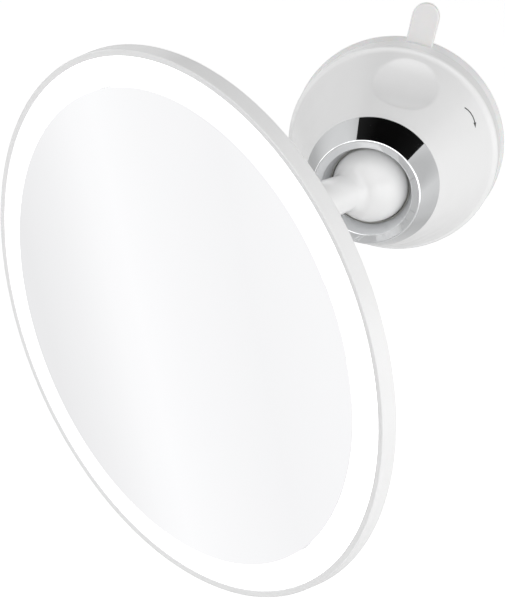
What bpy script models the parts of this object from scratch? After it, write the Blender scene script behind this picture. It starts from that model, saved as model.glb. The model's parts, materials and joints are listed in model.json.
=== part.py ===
"""Lighted makeup mirror on a twist-lock suction mount. Lengths are in metres, +Z is up.

The origin is the centre of the suction pad's wall face. The wall is the plane y = 0, and the
mirror stands out of it towards -Y. Pieces are grouped under empties, one for each thing that
moves. In the mount's empties local +Z points out of the wall and +Y points up. In the head's
empties local +Z points out of the looking glass, so the head's back lies at negative z.
"""

from math import acos, asin, atan2, cos, pi, radians, sin, sqrt, tan

import bmesh
import bpy
from mathutils import Matrix, Vector

# Clearances and mesh fineness
SEAT_GAP = 0.0003
RUNNING_GAP = 0.0004
CUT_OVERRUN = 0.002
MERGE_DISTANCE = 0.00001
HEAD_STEPS = 64
MOUNT_STEPS = 48
BALL_STEPS = 32
BALL_ARC_STEPS = 14
CUP_ARC_STEPS = 6
EDGE_ARC_STEPS = 3
SMALL_STEPS = 12
FILLET_STEPS = 3
DIMPLE_STEPS = 24
SHARP_ANGLE = radians(32)

# Pose of the head in the photograph: turned to its right and nodding a little
HEAD_YAW = radians(27.8)
HEAD_NOD = radians(3.1)

# Suction pad with its release tab
PAD_RADIUS = 0.0404
PAD_EDGE_THICKNESS = 0.0036
PAD_WEB_THICKNESS = 0.0018
PAD_RIM_WIDTH = 0.0086
PAD_RIM_SLOPE = 0.002
PAD_EDGE_SLOPE = 0.0012
PAD_EDGE_FILLET = 0.0004
PAD_LIP_THICKNESS = 0.0006
PAD_LIP_FILLET = 0.0002
TAB_WIDTH = 0.0099
TAB_REACH = 0.0137
TAB_THICKNESS = 0.0024
TAB_ROOT = 0.006
TAB_END_SHARE = 0.98
TAB_TURN = radians(1.6)

# Pressure plate that holds the pad's rim against the wall
PLATE_RIM_WIDTH = 0.005
PLATE_RIM_THICKNESS = 0.0025
PLATE_THICKNESS = 0.0022
PLATE_SLOPE = 0.0015

# Lock post, pulled out by its cross pin
POST_RADIUS = 0.007
POST_FOOT_RADIUS = 0.013
POST_FOOT_THICKNESS = 0.002
POST_CAP = 0.0032
POST_LIFT = 0.0025
POST_HEAD_ROOM = 0.0026
PIN_RADIUS = 0.0015
PIN_LENGTH = 0.025

# Cam sleeve with two ramps, screwed under the dome's floor
SLEEVE_WALL = 0.002
SLEEVE_LEDGE_THICKNESS = 0.0055
SLEEVE_FLANGE_WIDTH = 0.0065
SLEEVE_FLANGE_THICKNESS = 0.002
RAMP_TURN = pi / 2
RAMP_CREST_TURN = radians(20)
RAMP_FALL_TURN = radians(50)
SLEEVE_SCREW_COUNT = 3
SLEEVE_SCREW_RADIUS = 0.00125
SLEEVE_SCREW_HEAD_RADIUS = 0.0023
SLEEVE_SCREW_HEAD_HEIGHT = 0.0016

# Dome that is turned to lock
DOME_INSET = 0.001
DOME_WALL = 0.0044
DOME_SIDE_HEIGHT = 0.0076
DOME_SIDE_FILLET = 0.0016
DOME_SIDE_WALL = 0.002
DOME_SIDE_INSIDE_HEIGHT = 0.005
DOME_FLARE_WIDTH = 0.0016
DOME_FLARE_DROP = 0.0013
DOME_FLARE_FILLET = 0.004
DOME_TOP_LAND = 0.004
DOME_CROWN_THICKNESS = 0.005
DOME_FLOOR_THICKNESS = 0.0026
DOME_FLOOR_HOLE_RADIUS = 0.005
DIMPLE_COUNT = 2
DIMPLE_DROP = 0.0175
DIMPLE_DEPTH = 0.003
DIMPLE_HALF_WIDTH = 0.024
DIMPLE_HALF_LENGTH = 0.0169
DIMPLE_BULGE = 0.009
DIMPLE_TURN = radians(4)
SPIGOT_HEIGHT = 0.004
SPIGOT_WALL = 0.002

# Ball joint
BALL_RISE = 0.001
BALL_RADIUS = 0.0135
BALL_BORE_RADIUS = 0.0053
BALL_BORE_DEPTH = 0.0155
CUP_WALL = 0.003
CUP_BASE_CUT = 0.0007
CUP_SPRING_ROOM = 0.0018
CUP_TOP_BELOW_CENTRE = 0.0013
BUSH_HEIGHT = 0.0034
WASHER_WIDTH = 0.005
WASHER_THICKNESS = 0.0004
WASHER_WAVE = 0.0003
WASHER_WAVE_COUNT = 3

# Chrome collar
COLLAR_FOOT_OVERHANG = 0.0003
COLLAR_FOOT_EDGE = 0.0007
COLLAR_HEIGHT = 0.0112
COLLAR_LIP_MARGIN = 0.005
COLLAR_LIP_FILLET = 0.0006
COLLAR_LIP_WIDTH = 0.0029
COLLAR_LIP_DROP = 0.0013
COLLAR_BOWL_CLEARANCE = 0.0008
COLLAR_BOWL_EDGE = 0.0004

# Stem between the ball and the head
STEM_REACH = 0.093
STEM_OFFSET = 0.027
STEM_RADIUS = 0.0063
STEM_TOP_RADIUS = 0.0079
STEM_ROOT_RADIUS = 0.008
STEM_ROOT_FILLET = 0.007
STEM_ROOT_RISE = 0.001
STEM_FLARE_FILLET = 0.012
STEM_FLARE_HEIGHT = 0.0065
STEM_FLANGE_RADIUS = 0.015
STEM_FLANGE_THICKNESS = 0.0024
STEM_SPIGOT_HOLE_MARGIN = 0.0022
BALL_SCREW_RADIUS = 0.0015
BALL_SCREW_HEAD_RADIUS = 0.0031
BALL_SCREW_HEAD_HEIGHT = 0.0024
BALL_SCREW_SINK = 0.0042
BALL_SCREW_TIP_SINK = 0.0045
STEM_SCREW_COUNT = 3
STEM_SCREW_CIRCLE = 0.0095
STEM_SCREW_RADIUS = 0.0013
STEM_SCREW_HEAD_RADIUS = 0.0024
STEM_SCREW_HEAD_HEIGHT = 0.0015
STEM_SCREW_BITE = 0.0045

# Head: bezel, lit ring and looking glass
HEAD_RADIUS = 0.0875
BEZEL_WIDTH = 0.0027
BEZEL_WALL = 0.0016
BEZEL_DEPTH = 0.0042
BEZEL_SIDE_SLOPE = 0.0008
BEZEL_CREST_RISE = 0.0006
BEZEL_CREST_FILLET = 0.0003
BEZEL_LIP_THICKNESS = 0.0012
BEZEL_LIP_FILLET = 0.0002
LIT_RING_WIDTH = 0.0086
GLASS_THICKNESS = 0.0025
GLASS_RECESS = 0.0002
DIFFUSER_RECESS = 0.0004
DIFFUSER_THICKNESS = 0.0025
DIFFUSER_FLANGE_THICKNESS = 0.0008
TAPE_INSET = 0.0182
TAPE_WIDTH = 0.014
TAPE_THICKNESS = 0.0006

# Carrier plate behind the glass
CARRIER_THICKNESS = 0.0016
CARRIER_LEDGE_WIDTH = 0.0026
CARRIER_LEDGE_THICKNESS = 0.0008
CARRIER_SKIRT_WALL = 0.0014
CARRIER_SKIRT_INSET = 0.0013
CARRIER_NOTCH_WIDTH = 0.0045

# Ring of lamps
BOARD_WIDTH = 0.0049
BOARD_THICKNESS = 0.0008
LED_COUNT = 30
LED_LENGTH = 0.003
LED_WIDTH = 0.0016
LED_HEIGHT = 0.0008

# Back cover
COVER_WALL = 0.0017
COVER_RIM_INSET = 0.0013
COVER_TONGUE_WALL = 0.0018
COVER_EDGE_DEPTH = 0.0072
COVER_EDGE_INSET = 0.0039
COVER_EDGE_FILLET = 0.0018
COVER_SKIRT_INSET = 0.006
COVER_SKIRT_DEPTH = 0.008
COVER_STEP_WIDTH = 0.008
COVER_STEP_DEPTH = 0.0105
COVER_STEP_FILLET = 0.006
HUB_MARGIN = 0.0059
HUB_FILLET = 0.003
BOSS_RADIUS = 0.0036
BOSS_INSET = 0.0102
CASE_SCREW_COUNT = 4
CASE_SCREW_RADIUS = 0.0014
CASE_SCREW_HEAD_RADIUS = 0.0025
CASE_SCREW_HEAD_HEIGHT = 0.0013
CASE_SCREW_SEAT_DEPTH = 0.0078
CASE_SCREW_TIP_DEPTH = 0.0043

# Battery bay with three cells side by side
CELL_COUNT = 3
CELL_RADIUS = 0.00525
CELL_LENGTH = 0.0435
CELL_NUB_RADIUS = 0.0019
CELL_NUB_LENGTH = 0.001
CELL_EDGE_FILLET = 0.0006
CELL_PITCH = 0.011
SPRING_LENGTH = 0.0037
SPRING_FOOT_RADIUS = 0.0036
SPRING_HEAD_RADIUS = 0.0019
SPRING_WIRE_RADIUS = 0.0003
SPRING_TURNS = 2.5
SPRING_POINTS_PER_TURN = 8
CONTACT_THICKNESS = 0.0004
CONTACT_HEIGHT = 0.0088
CONTACT_WIDTH = 0.0092
TRAY_WALL = 0.0016
TRAY_CLEARANCE = 0.001
BAY_DROP = 0.014
DOOR_MARGIN = 0.0012
DOOR_FILLET = 0.003
DOOR_THICKNESS = 0.0015

# Power switch
SWITCH_BELOW_DOOR = 0.0075
SWITCH_LENGTH = 0.013
SWITCH_WIDTH = 0.0056
SWITCH_HEIGHT = 0.0048
KNOB_LENGTH = 0.0055
KNOB_WIDTH = 0.0034
KNOB_PROUD = 0.0013
KNOB_TRAVEL = 0.0036
KNOB_FILLET = 0.0005

# Leads inside the head
LEAD_RADIUS = 0.0005
LEAD_LIFT = 0.0009
LEAD_SPREAD = 0.0016

# Colours as red, green, blue
WHITE_GLOSS = (0.9, 0.9, 0.9)
WHITE_MATTE = (0.82, 0.82, 0.82)
SILICONE = (0.86, 0.86, 0.86)
NYLON = (0.75, 0.74, 0.7)
CHROME = (0.86, 0.87, 0.88)
STEEL = (0.62, 0.62, 0.64)
SILVERED = (0.95, 0.95, 0.96)
FROSTED = (0.98, 0.98, 0.98)
BOARD_WHITE = (0.85, 0.87, 0.86)
FOAM = (0.2, 0.2, 0.2)
CELL_JACKET = (0.25, 0.28, 0.32)
BRASS = (0.75, 0.6, 0.3)
RED = (0.6, 0.05, 0.04)
BLACK = (0.03, 0.03, 0.03)

# Places worked out from the sizes above, from the wall outwards
DOME_RADIUS = PAD_RADIUS - DOME_INSET
DOME_BASE_HEIGHT = PAD_EDGE_THICKNESS + SEAT_GAP
DOME_SIDE_INNER_RADIUS = DOME_RADIUS - DOME_SIDE_WALL
DOME_SIDE_INSIDE_TOP = DOME_BASE_HEIGHT + DOME_SIDE_INSIDE_HEIGHT
DOME_SIDE_TOP = DOME_BASE_HEIGHT + DOME_SIDE_HEIGHT
DOME_FLARE_HEIGHT = DOME_SIDE_TOP + DOME_FLARE_DROP
DOME_FLARE_RADIUS = DOME_RADIUS - DOME_FLARE_WIDTH
PLATE_RIM_RADIUS = DOME_SIDE_INNER_RADIUS - 4 * RUNNING_GAP
POST_FOOT_TOP = PAD_WEB_THICKNESS + SEAT_GAP + POST_FOOT_THICKNESS
PLATE_UNDERSIDE = POST_FOOT_TOP + POST_LIFT + 2 * SEAT_GAP
LEDGE_UNDERSIDE = PLATE_UNDERSIDE + PLATE_THICKNESS + RUNNING_GAP
LEDGE_TOP = LEDGE_UNDERSIDE + SLEEVE_LEDGE_THICKNESS
PIN_HEIGHT = LEDGE_TOP + RUNNING_GAP + PIN_RADIUS
POST_TOP = PIN_HEIGHT + PIN_RADIUS + POST_CAP
DOME_FLOOR_HEIGHT = POST_TOP + POST_LIFT + POST_HEAD_ROOM
DOME_FLOOR_TOP = DOME_FLOOR_HEIGHT + DOME_FLOOR_THICKNESS
SLEEVE_BORE_RADIUS = PIN_LENGTH / 2 + 4 * RUNNING_GAP
SLEEVE_RADIUS = SLEEVE_BORE_RADIUS + SLEEVE_WALL
SLEEVE_FLANGE_RADIUS = SLEEVE_RADIUS + SLEEVE_FLANGE_WIDTH
SLEEVE_TOP = DOME_FLOOR_HEIGHT - SEAT_GAP
SLEEVE_SCREW_CIRCLE = (SLEEVE_RADIUS + SLEEVE_FLANGE_RADIUS) / 2
SOCKET_RADIUS = BALL_RADIUS + SEAT_GAP
CUP_RADIUS = SOCKET_RADIUS + CUP_WALL
CUP_BASE_HEIGHT = DOME_FLOOR_TOP + CUP_SPRING_ROOM
BALL_HEIGHT = CUP_BASE_HEIGHT + SOCKET_RADIUS - CUP_BASE_CUT
WELL_RADIUS = CUP_RADIUS + RUNNING_GAP
SPIGOT_RADIUS = WELL_RADIUS + SPIGOT_WALL
DOME_TOP_HEIGHT = BALL_HEIGHT - BALL_RISE
DOME_TOP_RADIUS = SPIGOT_RADIUS + DOME_TOP_LAND
DIMPLE_HEIGHT = DOME_TOP_HEIGHT - DIMPLE_DROP
SPIGOT_TOP = DOME_TOP_HEIGHT + SPIGOT_HEIGHT
BUSH_TOP = SPIGOT_TOP - SEAT_GAP
BUSH_BOTTOM = BUSH_TOP - BUSH_HEIGHT
COLLAR_FOOT_RADIUS = DOME_TOP_RADIUS + COLLAR_FOOT_OVERHANG
COLLAR_FOOT_HEIGHT = DOME_TOP_HEIGHT + SEAT_GAP
COLLAR_TOP = COLLAR_FOOT_HEIGHT + COLLAR_HEIGHT
COLLAR_SHOULDER_HEIGHT = SPIGOT_TOP + SEAT_GAP
COLLAR_LIP_RADIUS = BALL_RADIUS + COLLAR_LIP_MARGIN
BALL_SCREW_SEAT = BALL_RADIUS - BALL_SCREW_SINK
BALL_SCREW_TIP = BALL_RADIUS - BALL_SCREW_TIP_SINK

# Places worked out from the sizes above, from the head's front backwards
LIT_OUTER_RADIUS = HEAD_RADIUS - BEZEL_WIDTH
GLASS_RADIUS = LIT_OUTER_RADIUS - LIT_RING_WIDTH
TAPE_RADIUS = GLASS_RADIUS - TAPE_INSET
BOSS_CIRCLE = GLASS_RADIUS - BOSS_INSET
BOARD_OUTER_RADIUS = GLASS_RADIUS + SEAT_GAP + BOARD_WIDTH
DIFFUSER_BACK = DIFFUSER_RECESS + DIFFUSER_THICKNESS
GLASS_BACK = GLASS_RECESS + GLASS_THICKNESS
CARRIER_FRONT = GLASS_BACK + TAPE_THICKNESS + 2 * SEAT_GAP
CARRIER_BACK = CARRIER_FRONT + CARRIER_THICKNESS
TRAY_FRONT_DEPTH = CARRIER_BACK + SEAT_GAP
CELL_DEPTH = TRAY_FRONT_DEPTH + TRAY_WALL + SEAT_GAP + CELL_RADIUS
HUB_DEPTH = CELL_DEPTH + CELL_RADIUS + SEAT_GAP + DOOR_THICKNESS
HUB_FLOOR_DEPTH = HUB_DEPTH - COVER_WALL
TRAY_BACK_DEPTH = HUB_FLOOR_DEPTH - SEAT_GAP
BAY_WIDTH = CELL_LENGTH + CELL_NUB_LENGTH + SPRING_LENGTH + 2 * CONTACT_THICKNESS + 6 * SEAT_GAP
BAY_HEIGHT = (CELL_COUNT - 1) * CELL_PITCH + 2 * CELL_RADIUS + TRAY_CLEARANCE
TRAY_SIDE = BAY_WIDTH / 2 + TRAY_WALL
TRAY_LOWER_SIDE = BAY_DROP + BAY_HEIGHT / 2 + TRAY_WALL
HUB_RADIUS = sqrt(TRAY_SIDE**2 + TRAY_LOWER_SIDE**2) + HUB_MARGIN
COVER_RIM_RADIUS = HEAD_RADIUS - COVER_RIM_INSET
COVER_RIM_DEPTH = BEZEL_DEPTH + SEAT_GAP
COVER_SKIRT_RADIUS = HEAD_RADIUS - COVER_SKIRT_INSET
COVER_STEP_RADIUS = HUB_RADIUS + COVER_STEP_WIDTH
COVER_FLOOR_DEPTH = COVER_SKIRT_DEPTH - COVER_WALL
STEM_TOP = STEM_REACH - HUB_DEPTH - SEAT_GAP
DOOR_WIDTH = BAY_WIDTH + 2 * DOOR_MARGIN
DOOR_HEIGHT = BAY_HEIGHT + 2 * DOOR_MARGIN
DOOR_HINGE_Y = -BAY_DROP - DOOR_HEIGHT / 2
SWITCH_DROP = SWITCH_BELOW_DOOR - DOOR_HINGE_Y

parts = bpy.data.collections.new("lighted_makeup_mirror")
cutters = bpy.data.collections.new("cutters")


def clear_scene():
    for old in list(bpy.data.objects):
        bpy.data.objects.remove(old, do_unlink=True)
    for collection in (parts, cutters):
        bpy.context.scene.collection.children.link(collection)


def look(name, colour, roughness, metallic=0.0, emission=0.0):
    made = bpy.data.materials.new(name)
    made.use_nodes = True
    shader = made.node_tree.nodes["Principled BSDF"]
    shader.inputs["Base Color"].default_value = (*colour, 1.0)
    shader.inputs["Roughness"].default_value = roughness
    shader.inputs["Metallic"].default_value = metallic
    shader.inputs["Emission Color"].default_value = (*colour, 1.0)
    shader.inputs["Emission Strength"].default_value = emission
    return made


def empty(name, parent=None, location=(0, 0, 0), turn=(0, 0, 0)):
    made = bpy.data.objects.new(name, None)
    parts.objects.link(made)
    made.parent = parent
    made.location = location
    made.rotation_euler = turn
    return made


def place(made, parent, surface=None, location=(0, 0, 0), turn=(0, 0, 0)):
    """Puts a new object under its empty, in the parts or, with no surface, among the cutters."""
    made.parent = parent
    made.location = location
    made.rotation_euler = turn
    if surface is None:
        cutters.objects.link(made)
        made.hide_render = True
        made.display_type = "WIRE"
    else:
        parts.objects.link(made)
        made.data.materials.append(surface)
    return made


def rounded(corners, closed=True):
    """Points of an outline whose corners are (x, z) or (x, z, fillet radius)."""
    points = []
    last = len(corners) - 1
    for index, corner in enumerate(corners):
        here = Vector(corner[:2])
        fillet = corner[2] if len(corner) == 3 else 0
        if fillet == 0 or (not closed and index in (0, last)):
            points.append(here)
            continue
        before = (Vector(corners[index - 1][:2]) - here).normalized()
        after = (Vector(corners[(index + 1) % len(corners)][:2]) - here).normalized()
        half = before.angle(after) / 2
        reach = fillet / tan(half)
        centre = here + (before + after).normalized() * fillet / sin(half)
        start = here + before * reach - centre
        end = here + after * reach - centre
        sweep = start.angle_signed(end)
        for step in range(FILLET_STEPS + 1):
            turned_by = Matrix.Rotation(-sweep * step / FILLET_STEPS, 2)
            points.append(centre + turned_by @ start)
    return points


def arc(height, radius, start, end, count):
    """Points (x, z) on a circle about (0, height), with angles measured up from +X."""
    angles = [start + (end - start) * step / count for step in range(count + 1)]
    return [(radius * cos(angle), height + radius * sin(angle)) for angle in angles]


def turned(name, corners, surface, parent, steps=MOUNT_STEPS, closed=True, **where):
    """A profile turned about the local Z axis. Its outer side runs from top to bottom."""
    points = rounded(corners, closed)
    edges = [(index, index + 1) for index in range(len(points) - 1)]
    if closed:
        edges.append((len(points) - 1, 0))
    mesh = bpy.data.meshes.new(name)
    mesh.from_pydata([(x, 0, z) for x, z in points], edges, [])
    made = place(bpy.data.objects.new(name, mesh), parent, surface, **where)
    screw = made.modifiers.new("turn", "SCREW")
    screw.steps = steps
    screw.render_steps = steps
    screw.use_merge_vertices = True
    screw.merge_threshold = MERGE_DISTANCE
    return made


def outline(name, corners, thickness, surface, parent, **where):
    """A flat outline in the local XY plane, filled and thickened evenly about it."""
    curve = bpy.data.curves.new(name, "CURVE")
    curve.dimensions = "2D"
    curve.fill_mode = "BOTH"
    curve.extrude = thickness / 2
    points = rounded(corners)
    spline = curve.splines.new("POLY")
    spline.points.add(len(points) - 1)
    for point, (x, y) in zip(spline.points, points):
        point.co = (x, y, 0, 1)
    spline.use_cyclic_u = True
    return meshed(curve, parent, surface, **where)


def meshed(curve, parent, surface, **where):
    """A mesh object made from a curve, with its caps welded."""
    drawn = bpy.data.objects.new(curve.name, curve)
    bpy.context.scene.collection.objects.link(drawn)
    bpy.context.view_layer.update()
    graph = bpy.context.evaluated_depsgraph_get()
    mesh = bpy.data.meshes.new_from_object(drawn.evaluated_get(graph))
    bpy.data.objects.remove(drawn, do_unlink=True)
    shape = bmesh.new()
    shape.from_mesh(mesh)
    bmesh.ops.remove_doubles(shape, verts=shape.verts, dist=MERGE_DISTANCE)
    bmesh.ops.recalc_face_normals(shape, faces=shape.faces)
    shape.to_mesh(mesh)
    shape.free()
    return place(bpy.data.objects.new(curve.name, mesh), parent, surface, **where)


def rectangle(width, height, fillet):
    """Corners of a rectangle about the origin, clockwise."""
    x = width / 2
    y = height / 2
    return [(-x, y, fillet), (x, y, fillet), (x, -y, fillet), (-x, -y, fillet)]


def boxes(name, size, places, surface, parent, spin=None, **where):
    """Boxes of one size at each place, turned about Z by their own angle if spin is given."""
    shape = bmesh.new()
    for index, centre in enumerate(places):
        angle = spin[index] if spin else 0
        matrix = Matrix.Translation(centre) @ Matrix.Rotation(angle, 4, "Z") @ Matrix.Diagonal((*size, 1))
        bmesh.ops.create_cube(shape, size=1, matrix=matrix)
    mesh = bpy.data.meshes.new(name)
    shape.to_mesh(mesh)
    shape.free()
    return place(bpy.data.objects.new(name, mesh), parent, surface, **where)


def pegs(name, radius, low, high, places, surface, parent, **where):
    """Upright cylinders between two heights at each (x, y) place."""
    shape = bmesh.new()
    for x, y in places:
        matrix = Matrix.Translation((x, y, (low + high) / 2))
        bmesh.ops.create_cone(
            shape, cap_ends=True, segments=SMALL_STEPS, radius1=radius, radius2=radius,
            depth=high - low, matrix=matrix,
        )
    mesh = bpy.data.meshes.new(name)
    shape.to_mesh(mesh)
    shape.free()
    return place(bpy.data.objects.new(name, mesh), parent, surface, **where)


def combine(target, other, operation):
    step = target.modifiers.new(other.name, "BOOLEAN")
    step.object = other
    step.operation = operation
    step.solver = "EXACT"


def on_circle(radius, count, start, centre=(0, 0)):
    """Places (x, y) spread evenly on a circle."""
    angles = [start + 2 * pi * index / count for index in range(count)]
    return [(centre[0] + radius * cos(angle), centre[1] + radius * sin(angle)) for angle in angles]


def applied(target):
    """Turns the object's modifiers into its mesh."""
    bpy.context.view_layer.update()
    graph = bpy.context.evaluated_depsgraph_get()
    mesh = bpy.data.meshes.new_from_object(target.evaluated_get(graph))
    mesh.name = target.name
    target.modifiers.clear()
    target.data = mesh
    return target


def shade_round_pieces():
    for piece in parts.objects:
        if piece.type == "MESH":
            applied(piece).data.shade_smooth()
            piece.data.set_sharp_from_angle(angle=SHARP_ANGLE)


def screw_piece(name, radius, head_radius, head_height, length, surface, parent, **where):
    """A screw whose head seats at z = 0 and whose shank runs towards +Z."""
    corners = [
        (0, length), (radius, length), (radius, 0),
        (head_radius, 0), (head_radius, -head_height), (0, -head_height),
    ]
    return turned(name, corners, surface, parent, SMALL_STEPS, closed=False, **where)


def suction_pad(axis, surface):
    rim_inner = PAD_RADIUS - PAD_RIM_WIDTH
    corners = [
        (0, PAD_WEB_THICKNESS),
        (rim_inner - PAD_RIM_SLOPE, PAD_WEB_THICKNESS),
        (rim_inner, PAD_EDGE_THICKNESS),
        (PAD_RADIUS - PAD_EDGE_SLOPE, PAD_EDGE_THICKNESS, PAD_EDGE_FILLET),
        (PAD_RADIUS, PAD_LIP_THICKNESS, PAD_LIP_FILLET),
        (PAD_RADIUS, 0),
        (0, 0),
    ]
    pad = turned("suction_pad", corners, surface, axis, closed=False)
    low = PAD_RADIUS - TAB_ROOT
    high = PAD_RADIUS + TAB_REACH
    half = TAB_WIDTH / 2
    end = half * TAB_END_SHARE
    tab_corners = [(-half, low), (-half, high, end), (half, high, end), (half, low)]
    tab_height = PAD_EDGE_THICKNESS - TAB_THICKNESS / 2 - SEAT_GAP
    where = {"location": (0, 0, tab_height), "turn": (0, 0, -TAB_TURN)}
    tab = outline("tab_shape", tab_corners, TAB_THICKNESS, None, axis, **where)
    combine(pad, tab, "UNION")


def pressure_plate(axis, surface):
    rim_inner = PLATE_RIM_RADIUS - PLATE_RIM_WIDTH
    rim_top = DOME_BASE_HEIGHT + PLATE_RIM_THICKNESS
    top = PLATE_UNDERSIDE + PLATE_THICKNESS
    bore = POST_RADIUS + RUNNING_GAP
    corners = [
        (bore, top), (rim_inner - PLATE_SLOPE, top), (rim_inner + PLATE_SLOPE, rim_top),
        (PLATE_RIM_RADIUS, rim_top), (PLATE_RIM_RADIUS, DOME_BASE_HEIGHT),
        (rim_inner, DOME_BASE_HEIGHT), (rim_inner - 2 * PLATE_SLOPE, PLATE_UNDERSIDE),
        (bore, PLATE_UNDERSIDE),
    ]
    turned("pressure_plate", corners, surface, axis)


def lock_post(axis, surface, steel):
    foot_bottom = PAD_WEB_THICKNESS + SEAT_GAP
    corners = [
        (0, POST_TOP), (POST_RADIUS, POST_TOP, SEAT_GAP), (POST_RADIUS, POST_FOOT_TOP),
        (POST_FOOT_RADIUS, POST_FOOT_TOP), (POST_FOOT_RADIUS, foot_bottom), (0, foot_bottom),
    ]
    post = turned("lock_post", corners, surface, axis, 2 * SMALL_STEPS, closed=False)
    half = PIN_LENGTH / 2
    across = {"location": (0, 0, PIN_HEIGHT), "turn": (0, pi / 2, 0)}
    hole = pegs("pin_hole", PIN_RADIUS + SEAT_GAP, -half, half, [(0, 0)], None, axis, **across)
    combine(post, hole, "DIFFERENCE")
    pegs("lock_pin", PIN_RADIUS, -half, half, [(0, 0)], steel, axis, **across)


def ramp_height(angle):
    """Rise of the cam ramp at an angle; the two ramps are half a turn apart."""
    turn = angle % pi
    crest_end = RAMP_TURN + RAMP_CREST_TURN
    if turn < RAMP_TURN:
        return POST_LIFT * turn / RAMP_TURN
    if turn < crest_end:
        return POST_LIFT
    return POST_LIFT * max(0, 1 - (turn - crest_end) / RAMP_FALL_TURN)


def cam_sleeve(axis, surface, steel):
    corners = [
        (SLEEVE_BORE_RADIUS, SLEEVE_TOP), (SLEEVE_FLANGE_RADIUS, SLEEVE_TOP),
        (SLEEVE_FLANGE_RADIUS, SLEEVE_TOP - SLEEVE_FLANGE_THICKNESS),
        (SLEEVE_RADIUS, SLEEVE_TOP - SLEEVE_FLANGE_THICKNESS),
        (SLEEVE_RADIUS, LEDGE_UNDERSIDE), (POST_RADIUS + 2 * RUNNING_GAP, LEDGE_UNDERSIDE),
        (POST_RADIUS + 2 * RUNNING_GAP, LEDGE_TOP), (SLEEVE_BORE_RADIUS, LEDGE_TOP),
    ]
    sleeve = applied(turned("cam_sleeve", corners, surface, axis))
    for vertex in sleeve.data.vertices:
        x, y, z = vertex.co
        if abs(z - LEDGE_TOP) < MERGE_DISTANCE:
            vertex.co.z = z + ramp_height(Vector((x, y)).angle_signed(Vector((1, 0)), 0))
    places = on_circle(SLEEVE_SCREW_CIRCLE, SLEEVE_SCREW_COUNT, pi / 2)
    seat = SLEEVE_TOP - SLEEVE_FLANGE_THICKNESS - SEAT_GAP
    hole = SLEEVE_SCREW_RADIUS + SEAT_GAP
    holes = pegs("sleeve_screw_holes", hole, seat, SLEEVE_TOP + SEAT_GAP / 2, places, None, axis)
    combine(sleeve, holes, "DIFFERENCE")
    length = DOME_FLOOR_TOP - SEAT_GAP - seat
    for index, (x, y) in enumerate(places):
        screw_piece(
            f"sleeve_screw_{index + 1}", SLEEVE_SCREW_RADIUS, SLEEVE_SCREW_HEAD_RADIUS,
            SLEEVE_SCREW_HEAD_HEIGHT, length, steel, axis, location=(x, y, seat),
        )


def finger_dimples(axis):
    """Flattened balls that hollow the cone's sides where finger and thumb turn it."""
    spread = DOME_FLARE_RADIUS - DOME_TOP_RADIUS
    height = DOME_TOP_HEIGHT - DOME_FLARE_HEIGHT
    lean = atan2(spread, height)
    side_radius = DOME_TOP_RADIUS + spread * (DOME_TOP_HEIGHT - DIMPLE_HEIGHT) / height
    out = DIMPLE_BULGE - DIMPLE_DEPTH
    centre = (0, side_radius + out * cos(lean), DIMPLE_HEIGHT + out * sin(lean))
    size = Matrix.Diagonal((DIMPLE_HALF_WIDTH, DIMPLE_HALF_LENGTH, DIMPLE_BULGE, 1))
    tilted = Matrix.Translation(centre) @ Matrix.Rotation(lean - pi / 2, 4, "X") @ size
    shape = bmesh.new()
    for index in range(DIMPLE_COUNT):
        matrix = Matrix.Rotation(2 * pi * index / DIMPLE_COUNT - DIMPLE_TURN, 4, "Z") @ tilted
        bmesh.ops.create_uvsphere(
            shape, u_segments=DIMPLE_STEPS, v_segments=DIMPLE_STEPS // 2, radius=1, matrix=matrix
        )
    mesh = bpy.data.meshes.new("finger_dimples")
    shape.to_mesh(mesh)
    shape.free()
    return place(bpy.data.objects.new("finger_dimples", mesh), axis)


def lock_dome(axis, surface):
    flange_radius = SLEEVE_FLANGE_RADIUS
    corners = [
        (WELL_RADIUS, SPIGOT_TOP), (SPIGOT_RADIUS, SPIGOT_TOP), (SPIGOT_RADIUS, DOME_TOP_HEIGHT),
        (DOME_TOP_RADIUS, DOME_TOP_HEIGHT),
        (DOME_FLARE_RADIUS, DOME_FLARE_HEIGHT, DOME_FLARE_FILLET),
        (DOME_RADIUS, DOME_SIDE_TOP, DOME_SIDE_FILLET),
        (DOME_RADIUS, DOME_BASE_HEIGHT), (DOME_SIDE_INNER_RADIUS, DOME_BASE_HEIGHT),
        (DOME_SIDE_INNER_RADIUS, DOME_SIDE_INSIDE_TOP),
        (DOME_FLARE_RADIUS - DOME_WALL, DOME_FLARE_HEIGHT),
        (SPIGOT_RADIUS, DOME_TOP_HEIGHT - DOME_CROWN_THICKNESS), (SPIGOT_RADIUS, DOME_FLOOR_TOP),
        (flange_radius, DOME_FLOOR_TOP), (flange_radius, DOME_FLOOR_HEIGHT),
        (DOME_FLOOR_HOLE_RADIUS, DOME_FLOOR_HEIGHT), (DOME_FLOOR_HOLE_RADIUS, DOME_FLOOR_TOP),
        (WELL_RADIUS, DOME_FLOOR_TOP),
    ]
    dome = turned("lock_dome", corners, surface, axis)
    combine(dome, finger_dimples(axis), "DIFFERENCE")
    places = on_circle(SLEEVE_SCREW_CIRCLE, SLEEVE_SCREW_COUNT, pi / 2)
    hole = SLEEVE_SCREW_RADIUS + SEAT_GAP
    low = DOME_FLOOR_HEIGHT - SEAT_GAP / 2
    holes = pegs("floor_screw_holes", hole, low, DOME_FLOOR_TOP + CUT_OVERRUN, places, None, axis)
    combine(dome, holes, "DIFFERENCE")


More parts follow.
